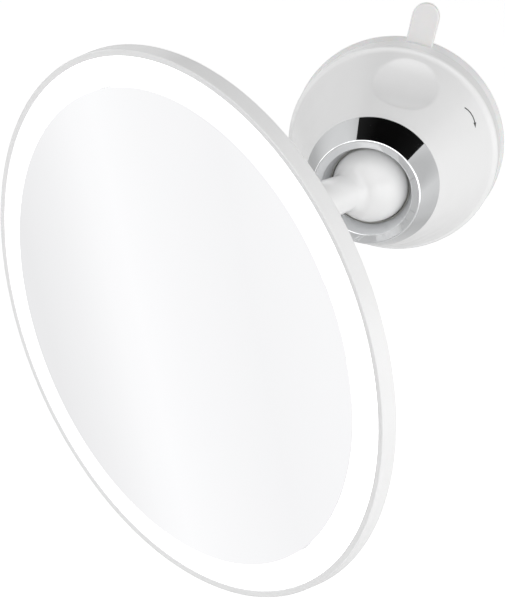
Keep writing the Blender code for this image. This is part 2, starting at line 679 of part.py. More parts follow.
def ball_seats(dome_axis, swivel_axis, nylon, steel):
    """The cup behind the ball, the bush in front of it and the wave washer under the cup."""
    base = CUP_BASE_CUT - SOCKET_RADIUS
    top = -CUP_TOP_BELOW_CENTRE
    inside = arc(0, SOCKET_RADIUS, asin(base / SOCKET_RADIUS), asin(top / SOCKET_RADIUS), CUP_ARC_STEPS)
    turned("ball_cup", [(CUP_RADIUS, top), (CUP_RADIUS, base), *inside], nylon, swivel_axis)
    low = BUSH_BOTTOM - BALL_HEIGHT
    high = BUSH_TOP - BALL_HEIGHT
    low_angle = asin(low / SOCKET_RADIUS)
    high_angle = asin(high / SOCKET_RADIUS)
    ring = arc(BALL_HEIGHT, SOCKET_RADIUS, low_angle, high_angle, EDGE_ARC_STEPS)
    corners = [(CUP_RADIUS, BUSH_TOP), (CUP_RADIUS, BUSH_BOTTOM), *ring]
    turned("ball_bush", corners, nylon, dome_axis)
    middle = (DOME_FLOOR_TOP + CUP_BASE_HEIGHT) / 2
    outer = CUP_RADIUS - RUNNING_GAP
    half = WASHER_THICKNESS / 2
    corners = [
        (outer - WASHER_WIDTH, middle + half), (outer, middle + half),
        (outer, middle - half), (outer - WASHER_WIDTH, middle - half),
    ]
    washer = applied(turned("wave_washer", corners, steel, dome_axis))
    for vertex in washer.data.vertices:
        angle = Vector(vertex.co[:2]).angle_signed(Vector((1, 0)), 0)
        vertex.co.z += WASHER_WAVE * sin(WASHER_WAVE_COUNT * angle)


def chrome_collar(axis, surface):
    bowl_low = COLLAR_SHOULDER_HEIGHT + COLLAR_BOWL_EDGE
    ball_there = sqrt(BALL_RADIUS**2 - (bowl_low - BALL_HEIGHT) ** 2)
    bowl_radius = ball_there + COLLAR_BOWL_CLEARANCE
    lip_inner = COLLAR_LIP_RADIUS - COLLAR_LIP_WIDTH
    bore = SPIGOT_RADIUS + SEAT_GAP
    corners = [
        (lip_inner, COLLAR_TOP - COLLAR_LIP_DROP, COLLAR_LIP_FILLET),
        (COLLAR_LIP_RADIUS, COLLAR_TOP, COLLAR_LIP_FILLET),
        (COLLAR_FOOT_RADIUS, COLLAR_FOOT_HEIGHT + COLLAR_FOOT_EDGE),
        (COLLAR_FOOT_RADIUS, COLLAR_FOOT_HEIGHT), (bore, COLLAR_FOOT_HEIGHT),
        (bore, COLLAR_SHOULDER_HEIGHT), (bowl_radius, COLLAR_SHOULDER_HEIGHT),
        (bowl_radius, bowl_low),
    ]
    turned("chrome_collar", corners, surface, axis)


def ball(axis, surface, steel):
    bore_floor = sqrt(BALL_RADIUS**2 - BALL_BORE_RADIUS**2) - BALL_BORE_DEPTH
    head_bore = BALL_SCREW_HEAD_RADIUS + SEAT_GAP
    shank_bore = BALL_SCREW_RADIUS + SEAT_GAP
    top_angle = acos(BALL_BORE_RADIUS / BALL_RADIUS)
    outside = arc(0, BALL_RADIUS, top_angle, -acos(head_bore / BALL_RADIUS), BALL_ARC_STEPS)
    corners = [
        *outside, (head_bore, -BALL_SCREW_SEAT), (shank_bore, -BALL_SCREW_SEAT),
        (shank_bore, bore_floor), (BALL_BORE_RADIUS, bore_floor),
    ]
    turned("ball", corners, surface, axis, BALL_STEPS)
    seat = -BALL_SCREW_SEAT - SEAT_GAP
    screw_piece(
        "ball_screw", BALL_SCREW_RADIUS, BALL_SCREW_HEAD_RADIUS, BALL_SCREW_HEAD_HEIGHT,
        BALL_SCREW_TIP - seat, steel, axis, location=(0, 0, seat),
    )


def stem(axis, surface, steel):
    spigot = BALL_BORE_RADIUS - SEAT_GAP
    spigot_end = sqrt(BALL_RADIUS**2 - BALL_BORE_RADIUS**2) - BALL_BORE_DEPTH + SEAT_GAP
    screw_bore = BALL_SCREW_RADIUS + SEAT_GAP
    hole_end = BALL_SCREW_TIP + STEM_SPIGOT_HOLE_MARGIN
    root_angle = acos(STEM_ROOT_RADIUS / SOCKET_RADIUS)
    saddle = arc(0, SOCKET_RADIUS, root_angle, acos(spigot / SOCKET_RADIUS), EDGE_ARC_STEPS)
    flange_bottom = STEM_TOP - STEM_FLANGE_THICKNESS
    corners = [
        (0, STEM_TOP), (STEM_FLANGE_RADIUS, STEM_TOP), (STEM_FLANGE_RADIUS, flange_bottom),
        (STEM_TOP_RADIUS, flange_bottom - STEM_FLARE_HEIGHT, STEM_FLARE_FILLET),
        (STEM_RADIUS, BALL_RADIUS + STEM_ROOT_RISE, STEM_ROOT_FILLET),
        *saddle, (spigot, spigot_end), (screw_bore, spigot_end),
        (screw_bore, hole_end), (0, hole_end),
    ]
    neck = turned("stem", corners, surface, axis, BALL_STEPS, closed=False)
    places = on_circle(STEM_SCREW_CIRCLE, STEM_SCREW_COUNT, pi / 2)
    hole = STEM_SCREW_RADIUS + SEAT_GAP
    low = STEM_TOP - STEM_SCREW_BITE - SEAT_GAP
    holes = pegs("stem_screw_holes", hole, low, STEM_TOP + SEAT_GAP / 2, places, None, axis)
    combine(neck, holes, "DIFFERENCE")
    seat = STEM_REACH - HUB_FLOOR_DEPTH + SEAT_GAP
    for index, (x, y) in enumerate(places):
        screw_piece(
            f"stem_screw_{index + 1}", STEM_SCREW_RADIUS, STEM_SCREW_HEAD_RADIUS,
            STEM_SCREW_HEAD_HEIGHT, seat - STEM_TOP + STEM_SCREW_BITE, steel, axis,
            location=(x, y, seat), turn=(pi, 0, 0),
        )


def front_bezel(front, surface):
    inner_wall = HEAD_RADIUS - BEZEL_WALL
    crest_radius = HEAD_RADIUS - BEZEL_SIDE_SLOPE
    corners = [
        (LIT_OUTER_RADIUS, 0, BEZEL_LIP_FILLET), (crest_radius, BEZEL_CREST_RISE, BEZEL_CREST_FILLET),
        (HEAD_RADIUS, -BEZEL_DEPTH), (inner_wall, -BEZEL_DEPTH),
        (inner_wall, -BEZEL_LIP_THICKNESS), (LIT_OUTER_RADIUS, -BEZEL_LIP_THICKNESS),
    ]
    turned("front_bezel", corners, surface, front, HEAD_STEPS)


def looking_glass(front, surface, foam):
    corners = [
        (0, -GLASS_RECESS), (GLASS_RADIUS, -GLASS_RECESS),
        (GLASS_RADIUS, -GLASS_BACK), (0, -GLASS_BACK),
    ]
    turned("mirror_glass", corners, surface, front, HEAD_STEPS, closed=False)
    inner = TAPE_RADIUS - TAPE_WIDTH
    top = -GLASS_BACK - SEAT_GAP
    bottom = top - TAPE_THICKNESS
    corners = [(inner, top), (TAPE_RADIUS, top), (TAPE_RADIUS, bottom), (inner, bottom)]
    turned("mirror_tape", corners, foam, front, SMALL_STEPS * 2)


def light_diffuser(front, surface):
    inner = GLASS_RADIUS + SEAT_GAP
    face_outer = LIT_OUTER_RADIUS - SEAT_GAP
    flange_outer = HEAD_RADIUS - BEZEL_WALL - SEAT_GAP
    flange_top = -BEZEL_LIP_THICKNESS - SEAT_GAP
    flange_bottom = flange_top - DIFFUSER_FLANGE_THICKNESS
    root = flange_outer - COVER_TONGUE_WALL - SEAT_GAP
    corners = [
        (inner, -DIFFUSER_RECESS), (face_outer, -DIFFUSER_RECESS), (face_outer, flange_top),
        (flange_outer, flange_top), (flange_outer, flange_bottom), (root, flange_bottom),
        (root, -DIFFUSER_BACK), (inner, -DIFFUSER_BACK),
    ]
    turned("light_diffuser", corners, surface, front, HEAD_STEPS)


def cover_inside_depth(radius):
    """Depth of the back cover's inner face at a radius between its step and its skirt."""
    share = (COVER_SKIRT_RADIUS - radius) / (COVER_SKIRT_RADIUS - COVER_STEP_RADIUS)
    return COVER_FLOOR_DEPTH + share * (COVER_STEP_DEPTH - COVER_SKIRT_DEPTH)


def carrier_plate(front, surface):
    skirt_outer = GLASS_RADIUS
    skirt_inner = skirt_outer - CARRIER_SKIRT_WALL
    ledge_outer = GLASS_RADIUS + SEAT_GAP + CARRIER_LEDGE_WIDTH
    ledge_top = DIFFUSER_BACK + SEAT_GAP
    ledge_back = ledge_top + CARRIER_LEDGE_THICKNESS
    skirt_end = cover_inside_depth(skirt_outer) - SEAT_GAP
    corners = [
        (0, -CARRIER_FRONT), (GLASS_RADIUS - CARRIER_SKIRT_INSET, -CARRIER_FRONT),
        (GLASS_RADIUS - CARRIER_SKIRT_INSET, -ledge_top), (ledge_outer, -ledge_top),
        (ledge_outer, -ledge_back), (skirt_outer, -ledge_back), (skirt_outer, -skirt_end),
        (skirt_inner, -skirt_end), (skirt_inner, -CARRIER_BACK), (0, -CARRIER_BACK),
    ]
    plate = turned("mirror_carrier", corners, surface, front, HEAD_STEPS, closed=False)
    places = on_circle(BOSS_CIRCLE, CASE_SCREW_COUNT, pi / 4)
    hole = CASE_SCREW_RADIUS + SEAT_GAP
    holes = pegs(
        "carrier_screw_holes", hole, -CARRIER_BACK - CUT_OVERRUN, -CARRIER_FRONT + CUT_OVERRUN,
        places, None, front,
    )
    combine(plate, holes, "DIFFERENCE")
    size = (CARRIER_NOTCH_WIDTH, 4 * CARRIER_SKIRT_WALL, skirt_end - CARRIER_BACK + CUT_OVERRUN)
    centre = (0, -(skirt_inner + skirt_outer) / 2, -CARRIER_BACK - size[2] / 2)
    notch = boxes("lead_notch", size, [centre], None, front)
    combine(plate, notch, "DIFFERENCE")


def led_ring(front, surface):
    inner = BOARD_OUTER_RADIUS - BOARD_WIDTH
    back = COVER_FLOOR_DEPTH - SEAT_GAP
    face = back - BOARD_THICKNESS
    corners = [
        (inner, -face), (BOARD_OUTER_RADIUS, -face),
        (BOARD_OUTER_RADIUS, -back), (inner, -back),
    ]
    board = turned("led_ring", corners, surface, front, HEAD_STEPS)
    middle = (inner + BOARD_OUTER_RADIUS) / 2
    height = LED_HEIGHT + BOARD_THICKNESS / 2
    turns = [2 * pi * index / LED_COUNT for index in range(LED_COUNT)]
    places = [(x, y, -face + LED_HEIGHT - height / 2) for x, y in on_circle(middle, LED_COUNT, 0)]
    chips = boxes("led_chips", (LED_WIDTH, LED_LENGTH, height), places, None, front, spin=turns)
    combine(board, chips, "UNION")


def back_cover(front, surface):
    tongue_outer = HEAD_RADIUS - BEZEL_WALL - SEAT_GAP
    tongue_inner = tongue_outer - COVER_TONGUE_WALL
    tongue_top = BEZEL_LIP_THICKNESS + 2 * SEAT_GAP + DIFFUSER_FLANGE_THICKNESS
    edge_radius = HEAD_RADIUS - COVER_EDGE_INSET
    step_inner = COVER_STEP_RADIUS - COVER_WALL / 2
    hub_inner = HUB_RADIUS - COVER_WALL / 2
    corners = [
        (tongue_inner, -tongue_top), (tongue_outer, -tongue_top), (tongue_outer, -COVER_RIM_DEPTH),
        (COVER_RIM_RADIUS, -COVER_RIM_DEPTH),
        (COVER_RIM_RADIUS, -COVER_RIM_DEPTH - BEZEL_LIP_THICKNESS, COVER_EDGE_FILLET),
        (edge_radius, -COVER_EDGE_DEPTH, COVER_EDGE_FILLET),
        (COVER_SKIRT_RADIUS, -COVER_SKIRT_DEPTH),
        (COVER_STEP_RADIUS, -COVER_STEP_DEPTH, COVER_STEP_FILLET),
        (HUB_RADIUS, -HUB_DEPTH, HUB_FILLET), (0, -HUB_DEPTH), (0, -HUB_FLOOR_DEPTH),
        (hub_inner, -HUB_FLOOR_DEPTH), (step_inner, -cover_inside_depth(COVER_STEP_RADIUS)),
        (COVER_SKIRT_RADIUS, -COVER_FLOOR_DEPTH), (tongue_inner, -COVER_FLOOR_DEPTH),
    ]
    cover = turned("back_cover", corners, surface, front, HEAD_STEPS)
    places = on_circle(BOSS_CIRCLE, CASE_SCREW_COUNT, pi / 4)
    boss_top = -CARRIER_BACK - SEAT_GAP
    boss_root = -cover_inside_depth(BOSS_CIRCLE) - COVER_WALL / 2
    bosses = pegs("screw_bosses", BOSS_RADIUS, boss_root, boss_top, places, None, front)
    combine(cover, bosses, "UNION")
    below = -HUB_DEPTH - CUT_OVERRUN
    above = boss_top + CUT_OVERRUN
    shanks = pegs("case_screw_holes", CASE_SCREW_RADIUS + SEAT_GAP, below, above, places, None, front)
    combine(cover, shanks, "DIFFERENCE")
    sink = CASE_SCREW_HEAD_RADIUS + SEAT_GAP
    sinks = pegs("case_screw_sinks", sink, below, -CASE_SCREW_SEAT_DEPTH, places, None, front)
    combine(cover, sinks, "DIFFERENCE")
    stem_places = on_circle(STEM_SCREW_CIRCLE, STEM_SCREW_COUNT, pi / 2, (0, STEM_OFFSET))
    stem_hole = STEM_SCREW_RADIUS + SEAT_GAP
    stem_holes = pegs(
        "cover_stem_holes", stem_hole, below, -HUB_FLOOR_DEPTH + CUT_OVERRUN, stem_places, None, front
    )
    combine(cover, stem_holes, "DIFFERENCE")
    opening = outline(
        "door_opening", rectangle(DOOR_WIDTH + 2 * SEAT_GAP, DOOR_HEIGHT + 2 * SEAT_GAP, DOOR_FILLET),
        2 * COVER_WALL + CUT_OVERRUN, None, front, location=(0, -BAY_DROP, -HUB_DEPTH),
    )
    combine(cover, opening, "DIFFERENCE")
    slot_size = (KNOB_LENGTH + KNOB_TRAVEL + 4 * SEAT_GAP, KNOB_WIDTH + 2 * SEAT_GAP, 4 * COVER_WALL)
    slot = boxes("switch_slot", slot_size, [(0, -SWITCH_DROP, -HUB_DEPTH)], None, front)
    combine(cover, slot, "DIFFERENCE")


def case_screws(front, steel):
    seat = -CASE_SCREW_SEAT_DEPTH - SEAT_GAP
    length = -CASE_SCREW_TIP_DEPTH - seat
    for index, (x, y) in enumerate(on_circle(BOSS_CIRCLE, CASE_SCREW_COUNT, pi / 4)):
        screw_piece(
            f"case_screw_{index + 1}", CASE_SCREW_RADIUS, CASE_SCREW_HEAD_RADIUS,
            CASE_SCREW_HEAD_HEIGHT, length, steel, front, location=(x, y, seat),
        )


def battery_tray(front, surface):
    width = BAY_WIDTH + 2 * TRAY_WALL
    height = BAY_HEIGHT + 2 * TRAY_WALL
    depth = TRAY_BACK_DEPTH - TRAY_FRONT_DEPTH
    centre = (0, -BAY_DROP, -(TRAY_FRONT_DEPTH + TRAY_BACK_DEPTH) / 2)
    tray = boxes("battery_tray", (width, height, depth), [centre], surface, front)
    room_centre = (0, -BAY_DROP, centre[2] - TRAY_WALL)
    room = boxes("bay_room", (BAY_WIDTH, BAY_HEIGHT, depth), [room_centre], None, front)
    combine(tray, room, "DIFFERENCE")


def cell_rows():
    """Height of each cell's axis and the side (+1 or -1) that its positive end faces."""
    middle = (CELL_COUNT - 1) / 2
    heights = [(middle - row) * CELL_PITCH - BAY_DROP for row in range(CELL_COUNT)]
    return [(height, 1 if row % 2 == 0 else -1) for row, height in enumerate(heights)]


def cells(front, jacket, steel):
    shift = (SPRING_LENGTH + SEAT_GAP - CELL_NUB_LENGTH) / 2
    half = CELL_LENGTH / 2
    corners = [
        (0, half + CELL_NUB_LENGTH), (CELL_NUB_RADIUS, half + CELL_NUB_LENGTH),
        (CELL_NUB_RADIUS, half), (CELL_RADIUS, half, CELL_EDGE_FILLET),
        (CELL_RADIUS, -half, CELL_EDGE_FILLET), (0, -half),
    ]
    for row, (y, side) in enumerate(cell_rows()):
        centre = (side * shift, y, -CELL_DEPTH)
        turned(
            f"cell_{row + 1}", corners, jacket, front, SMALL_STEPS, closed=False,
            location=centre, turn=(0, side * pi / 2, 0),
        )
        foot = -side * (BAY_WIDTH / 2 - CONTACT_THICKNESS - 2 * SEAT_GAP)
        cell_spring(f"cell_spring_{row + 1}", front, steel, (foot, y, -CELL_DEPTH), side)


def cell_spring(name, front, steel, foot, side):
    """A conical spring whose wide end stands on its contact and whose tip meets the cell."""
    curve = bpy.data.curves.new(name, "CURVE")
    curve.dimensions = "3D"
    curve.bevel_depth = SPRING_WIRE_RADIUS
    curve.bevel_resolution = 0
    curve.use_fill_caps = True
    count = round(SPRING_TURNS * SPRING_POINTS_PER_TURN) + 1
    spline = curve.splines.new("POLY")
    spline.points.add(count - 1)
    rise = SPRING_LENGTH - 2 * SPRING_WIRE_RADIUS - SEAT_GAP
    for index, point in enumerate(spline.points):
        share = index / (count - 1)
        radius = SPRING_FOOT_RADIUS + share * (SPRING_HEAD_RADIUS - SPRING_FOOT_RADIUS)
        angle = 2 * pi * SPRING_TURNS * share
        height = SPRING_WIRE_RADIUS + share * rise
        point.co = (radius * cos(angle), radius * sin(angle), height, 1)
    meshed(curve, front, steel, location=foot, turn=(0, side * pi / 2, 0))


def contacts(front, steel):
    """Two plates that bridge neighbouring cells and two single end plates."""
    rows = [y for y, _ in cell_rows()]
    reach = BAY_WIDTH / 2 - SEAT_GAP - CONTACT_THICKNESS / 2
    pair = CELL_PITCH + CONTACT_WIDTH
    plates = [
        ("contact_end_plus", 1, rows[0], CONTACT_WIDTH),
        ("contact_bridge_1", -1, (rows[0] + rows[1]) / 2, pair),
        ("contact_bridge_2", 1, (rows[1] + rows[2]) / 2, pair),
        ("contact_end_minus", -1, rows[2], CONTACT_WIDTH),
    ]
    for name, side, y, width in plates:
        size = (CONTACT_THICKNESS, width, CONTACT_HEIGHT)
        boxes(name, size, [(side * reach, y, -CELL_DEPTH)], steel, front)


def battery_door(hinge, surface):
    middle = DOOR_THICKNESS / 2
    outline(
        "battery_door", rectangle(DOOR_WIDTH, DOOR_HEIGHT, DOOR_FILLET), DOOR_THICKNESS,
        surface, hinge, location=(0, DOOR_HEIGHT / 2, middle),
    )


def power_switch(front, slide, surface, black):
    top = -HUB_FLOOR_DEPTH + 2 * SEAT_GAP
    size = (SWITCH_LENGTH, SWITCH_WIDTH, SWITCH_HEIGHT)
    centre = (0, -SWITCH_DROP, top + SWITCH_HEIGHT / 2 + SEAT_GAP)
    boxes("switch_body", size, [centre], black, front)
    height = KNOB_PROUD + COVER_WALL + SEAT_GAP
    knob_centre = (0, 0, height / 2 - KNOB_PROUD)
    knob = boxes("switch_knob", (KNOB_LENGTH, KNOB_WIDTH, height), [knob_centre], surface, slide)
    bevel = knob.modifiers.new("soft_edges", "BEVEL")
    bevel.width = KNOB_FILLET
    bevel.segments = 2
    bevel.use_clamp_overlap = False


def lead(name, route, surface, front):
    curve = bpy.data.curves.new(name, "CURVE")
    curve.dimensions = "3D"
    curve.bevel_depth = LEAD_RADIUS
    curve.bevel_resolution = 1
    curve.use_fill_caps = True
    spline = curve.splines.new("POLY")
    spline.points.add(len(route) - 1)
    for point, place_there in zip(spline.points, route):
        point.co = (*place_there, 1)
    meshed(curve, front, surface)


def leads(front, red, black):
    """Wires from the battery tray past the switch to the ring of lamps, under the carrier."""
    tray_side = TRAY_SIDE + SEAT_GAP
    tray_bottom = -TRAY_LOWER_SIDE
    high = -CARRIER_BACK - LEAD_RADIUS - SEAT_GAP
    switch_top = -HUB_FLOOR_DEPTH + SWITCH_HEIGHT + 4 * SEAT_GAP
    ring_y = -(BOARD_OUTER_RADIUS - BOARD_WIDTH - SEAT_GAP)
    step_y = -COVER_STEP_RADIUS
    x = LEAD_SPREAD / 2
    side_x = SWITCH_LENGTH / 2 + LEAD_SPREAD
    outlet = (tray_side, -BAY_DROP - CELL_PITCH, -CELL_DEPTH)
    red_route = [
        outlet, (tray_side + LEAD_SPREAD, -BAY_DROP - CELL_PITCH, -CELL_DEPTH),
        (tray_side, tray_bottom - LEAD_SPREAD, high), (side_x, -SWITCH_DROP - SWITCH_WIDTH, high),
        (x, step_y, high), (x, ring_y, high),
    ]
    black_route = [
        (-tray_side, -BAY_DROP - CELL_PITCH, -CELL_DEPTH),
        (-tray_side - LEAD_SPREAD, -BAY_DROP - CELL_PITCH, -CELL_DEPTH),
        (-tray_side, tray_bottom - LEAD_SPREAD, -CELL_DEPTH),
        (-side_x, -SWITCH_DROP, -CELL_DEPTH),
        (-SWITCH_LENGTH / 2 - SEAT_GAP, -SWITCH_DROP, -CELL_DEPTH - LEAD_LIFT),
    ]
    switched_route = [
        (-x - LEAD_SPREAD, -SWITCH_DROP, switch_top), (-x - LEAD_SPREAD, -SWITCH_DROP - SWITCH_WIDTH, high),
        (-x, step_y, high), (-x, ring_y, high),
    ]
    lead("lead_plus", red_route, red, front)
    lead("lead_minus", black_route, black, front)
    lead("lead_switched", switched_route, black, front)


def build():
    clear_scene()
    white = look("white_gloss", WHITE_GLOSS, 0.18)
    matte = look("white_matte", WHITE_MATTE, 0.5)
    nylon = look("nylon", NYLON, 0.4)
    chrome = look("chrome", CHROME, 0.05, 1.0)
    steel = look("steel", STEEL, 0.3, 1.0)
    silicone = look("silicone", SILICONE, 0.35)
    black = look("black", BLACK, 0.4)

    wall = empty("mount_axis", turn=(pi / 2, 0, 0))
    post_axis = empty("lock_post_axis", wall)
    dome_axis = empty("lock_dome_axis", wall)
    swivel_axis = empty("ball_swivel_axis", dome_axis, (0, 0, BALL_HEIGHT))
    ball_axis = empty("ball_tilt_axis", swivel_axis, turn=(HEAD_NOD, -HEAD_YAW, 0))
    spin_axis = empty("head_spin_axis", ball_axis)
    front = empty("head_front", spin_axis, (0, -STEM_OFFSET, STEM_REACH))
    hinge = empty("battery_door_hinge", front, (0, DOOR_HINGE_Y, -HUB_DEPTH))
    slide = empty("power_switch_slide", front, (KNOB_TRAVEL / 2, -SWITCH_DROP, -HUB_DEPTH))

    suction_pad(wall, silicone)
    pressure_plate(wall, matte)
    lock_post(post_axis, nylon, steel)
    cam_sleeve(dome_axis, nylon, steel)
    lock_dome(dome_axis, white)
    ball_seats(dome_axis, swivel_axis, nylon, steel)
    chrome_collar(dome_axis, chrome)
    ball(ball_axis, white, steel)
    stem(spin_axis, white, steel)
    front_bezel(front, white)
    looking_glass(front, look("silvered_glass", SILVERED, 0.02, 1.0), look("foam_tape", FOAM, 0.9))
    light_diffuser(front, look("lit_diffuser", FROSTED, 0.6, emission=1.0))
    carrier_plate(front, matte)
    led_ring(front, look("lamp_board", BOARD_WHITE, 0.5))
    back_cover(front, white)
    case_screws(front, steel)
    battery_tray(front, matte)
    cells(front, look("cell_jacket", CELL_JACKET, 0.3), steel)
    contacts(front, look("contact_metal", BRASS, 0.3, 1.0))
    battery_door(hinge, white)
    power_switch(front, slide, white, black)
    leads(front, look("red_lead", RED, 0.4), black)
    shade_round_pieces()


build()
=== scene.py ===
"""Looks of the lighted makeup mirror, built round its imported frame. Lengths are in metres, +Z is up.

Each new piece is drawn in the axes of the mount, the ball or the head and then put in place, so
its object stands at the origin as a CAD node's does. Local +Z points out of the wall in the
mount's axes, and out of the looking glass in the others.
"""

import json
from math import acos, atan2, cos, pi, radians, sin, sqrt, tan

import bmesh
import bpy
from mathutils import Euler, Matrix, Vector

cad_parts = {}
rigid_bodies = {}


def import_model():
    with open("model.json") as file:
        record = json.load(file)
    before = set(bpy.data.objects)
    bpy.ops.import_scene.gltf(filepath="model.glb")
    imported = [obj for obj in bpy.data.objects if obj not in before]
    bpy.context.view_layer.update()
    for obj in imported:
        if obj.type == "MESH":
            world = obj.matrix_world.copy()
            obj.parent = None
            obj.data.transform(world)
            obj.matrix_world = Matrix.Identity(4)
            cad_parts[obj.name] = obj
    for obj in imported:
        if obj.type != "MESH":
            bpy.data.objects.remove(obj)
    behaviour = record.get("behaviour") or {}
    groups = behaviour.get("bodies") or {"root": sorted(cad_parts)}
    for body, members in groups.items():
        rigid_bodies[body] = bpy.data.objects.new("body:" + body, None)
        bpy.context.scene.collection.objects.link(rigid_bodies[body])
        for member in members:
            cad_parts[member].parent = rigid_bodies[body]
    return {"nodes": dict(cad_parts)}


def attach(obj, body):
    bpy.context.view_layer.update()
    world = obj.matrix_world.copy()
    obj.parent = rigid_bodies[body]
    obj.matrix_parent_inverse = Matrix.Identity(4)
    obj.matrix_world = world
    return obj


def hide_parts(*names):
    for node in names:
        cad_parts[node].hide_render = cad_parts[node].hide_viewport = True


# Mesh fineness and clearances
ROUND_STEPS = 192
DOME_STEPS = 320
BALL_STEPS = 96
BALL_ARC_STEPS = 40
SCREW_STEPS = 32
FILLET_STEPS = 6
SHARP_ANGLE = radians(38)
ON_AXIS = 0.000001
SEAT_GAP = 0.0003
CUT_OVERRUN = 0.002

# Pose of the head in the photograph
HEAD_YAW = radians(27.8)
HEAD_NOD = radians(3.1)

# Suction pad with its release tab
PAD_RADIUS = 0.0404
PAD_EDGE_THICKNESS = 0.0036
PAD_WEB_THICKNESS = 0.0018
PAD_RIM_WIDTH = 0.0086
PAD_RIM_SLOPE = 0.002
PAD_EDGE_SLOPE = 0.0012
PAD_EDGE_FILLET = 0.0004
PAD_LIP_THICKNESS = 0.0006
PAD_LIP_FILLET = 0.0002
TAB_WIDTH = 0.0099
TAB_REACH = 0.0137
TAB_TURN = radians(1.6)
TAB_THICKNESS = 0.0024
TAB_ROOT = 0.006
TAB_EDGE_ROUNDING = 0.0008
TAB_OUTLINE_STEPS = 24

# Dome
DOME_RADIUS = 0.0394
DOME_WALL = 0.0044
DOME_BASE_HEIGHT = 0.0039
DOME_SIDE_INNER_RADIUS = 0.0374
DOME_SIDE_INSIDE_TOP = 0.0089
DOME_SIDE_TOP = 0.0115
DOME_SIDE_FILLET = 0.0016
DOME_FLARE_RADIUS = 0.0378
DOME_FLARE_HEIGHT = 0.0128
DOME_FLARE_FILLET = 0.004
DOME_TOP_RADIUS = 0.0232
DOME_TOP_HEIGHT = 0.0435
DOME_CROWN_THICKNESS = 0.005
DOME_TOP_FILLET = 0.0003
DOME_FLOOR_HEIGHT = 0.027
DOME_FLOOR_TOP = 0.0296
DOME_FLOOR_RADIUS = 0.0218
DOME_FLOOR_HOLE_RADIUS = 0.005
CONE_ROWS = 88
CONE_ROWS_SHARE = 0.94
WELL_RADIUS = 0.0172
SPIGOT_RADIUS = 0.0192
SPIGOT_TOP = 0.0475
DIMPLE_HEIGHT = 0.026
DIMPLE_DEPTH = 0.003
DIMPLE_HALF_WIDTH = 0.024
DIMPLE_HALF_LENGTH = 0.0169
DIMPLE_BULGE = 0.009
DIMPLE_SOFTNESS = 0.0001
DIMPLE_TURN = radians(4)

# Arrow on the dome, its angles clockwise from up
ARROW_START = radians(42.5)
ARROW_END = radians(56)
ARROW_HEIGHT = 0.0196
ARROW_BOW = 0.0011
ARROW_WIDTH = 0.00045
ARROW_HEAD_WIDTH = 0.0014
ARROW_TIP_WIDTH = 0.00006
ARROW_HEAD_SHARE = 0.2
ARROW_STEPS = 20
ARROW_AHEAD_SHARE = 0.01
ARROW_PROUD = 0.00005
ARROW_SINK = 0.0003

# Chrome collar
COLLAR_FOOT_RADIUS = 0.0235
COLLAR_FOOT_HEIGHT = 0.0438
COLLAR_FOOT_EDGE = 0.0007
COLLAR_FOOT_FILLET = COLLAR_FOOT_EDGE / 3
COLLAR_TOP = 0.055
COLLAR_LIP_RADIUS = 0.0185
COLLAR_LIP_WIDTH = 0.0029
COLLAR_LIP_DROP = 0.0013
COLLAR_LIP_FILLET = 0.0006
COLLAR_SHOULDER_HEIGHT = 0.0478
COLLAR_BOWL_EDGE = 0.0004
COLLAR_BOWL_RADIUS = 0.0138

# Ball and stem
BALL_HEIGHT = 0.0445
BALL_RADIUS = 0.0135
BALL_BORE_RADIUS = 0.0053
BALL_BORE_DEPTH = 0.0155
BALL_SCREW_RADIUS = 0.0015
BALL_SCREW_HEAD_RADIUS = 0.0031
BALL_SCREW_SEAT = 0.0093
STEM_SPIGOT_HOLE_END = 0.0112
STEM_REACH = 0.093
STEM_OFFSET = 0.027
STEM_RADIUS = 0.0063
STEM_TOP_RADIUS = 0.0079
STEM_ROOT_FILLET = 0.005
STEM_ROOT_GAP = 0.00003
STEM_FLARE_FILLET = 0.012
STEM_FLARE_HEIGHT = 0.0065
STEM_FLANGE_RADIUS = 0.015
STEM_FLANGE_THICKNESS = 0.0024
STEM_FLANGE_FILLET = 0.0006
STEM_SCREW_COUNT = 3
STEM_SCREW_CIRCLE = 0.0095
STEM_SCREW_START = pi / 2
STEM_SCREW_RADIUS = 0.0013
STEM_SCREW_BITE = 0.0045

# Head, from its front backwards
HEAD_RADIUS = 0.0875
LIT_OUTER_RADIUS = 0.0848
GLASS_RADIUS = 0.0762
BEZEL_WALL = 0.0016
BEZEL_DEPTH = 0.0042
BEZEL_SIDE_SLOPE = 0.0008
BEZEL_CREST_RISE = 0.0006
BEZEL_CREST_FILLET = 0.0003
BEZEL_LIP_THICKNESS = 0.0012
BEZEL_LIP_FILLET = 0.0002
BEZEL_BACK_FILLET = 0.0002
GLASS_RECESS = 0.0002
GLASS_THICKNESS = 0.0025
GLASS_EDGE_BEVEL = 0.0001
DIFFUSER_RECESS = 0.0004
DIFFUSER_THICKNESS = 0.0025
DIFFUSER_FLANGE_THICKNESS = 0.0008
DIFFUSER_FILLET = 0.0002
COVER_WALL = 0.0017
COVER_RIM_RADIUS = 0.0862
COVER_TONGUE_WALL = 0.0018
COVER_EDGE_DEPTH = 0.0072
COVER_EDGE_INSET = 0.0039
COVER_EDGE_FILLET = 0.0018
COVER_SKIRT_RADIUS = 0.0815
COVER_SKIRT_DEPTH = 0.008
COVER_STEP_DEPTH = 0.0105
COVER_STEP_WIDTH = 0.008
COVER_STEP_FILLET = 0.006

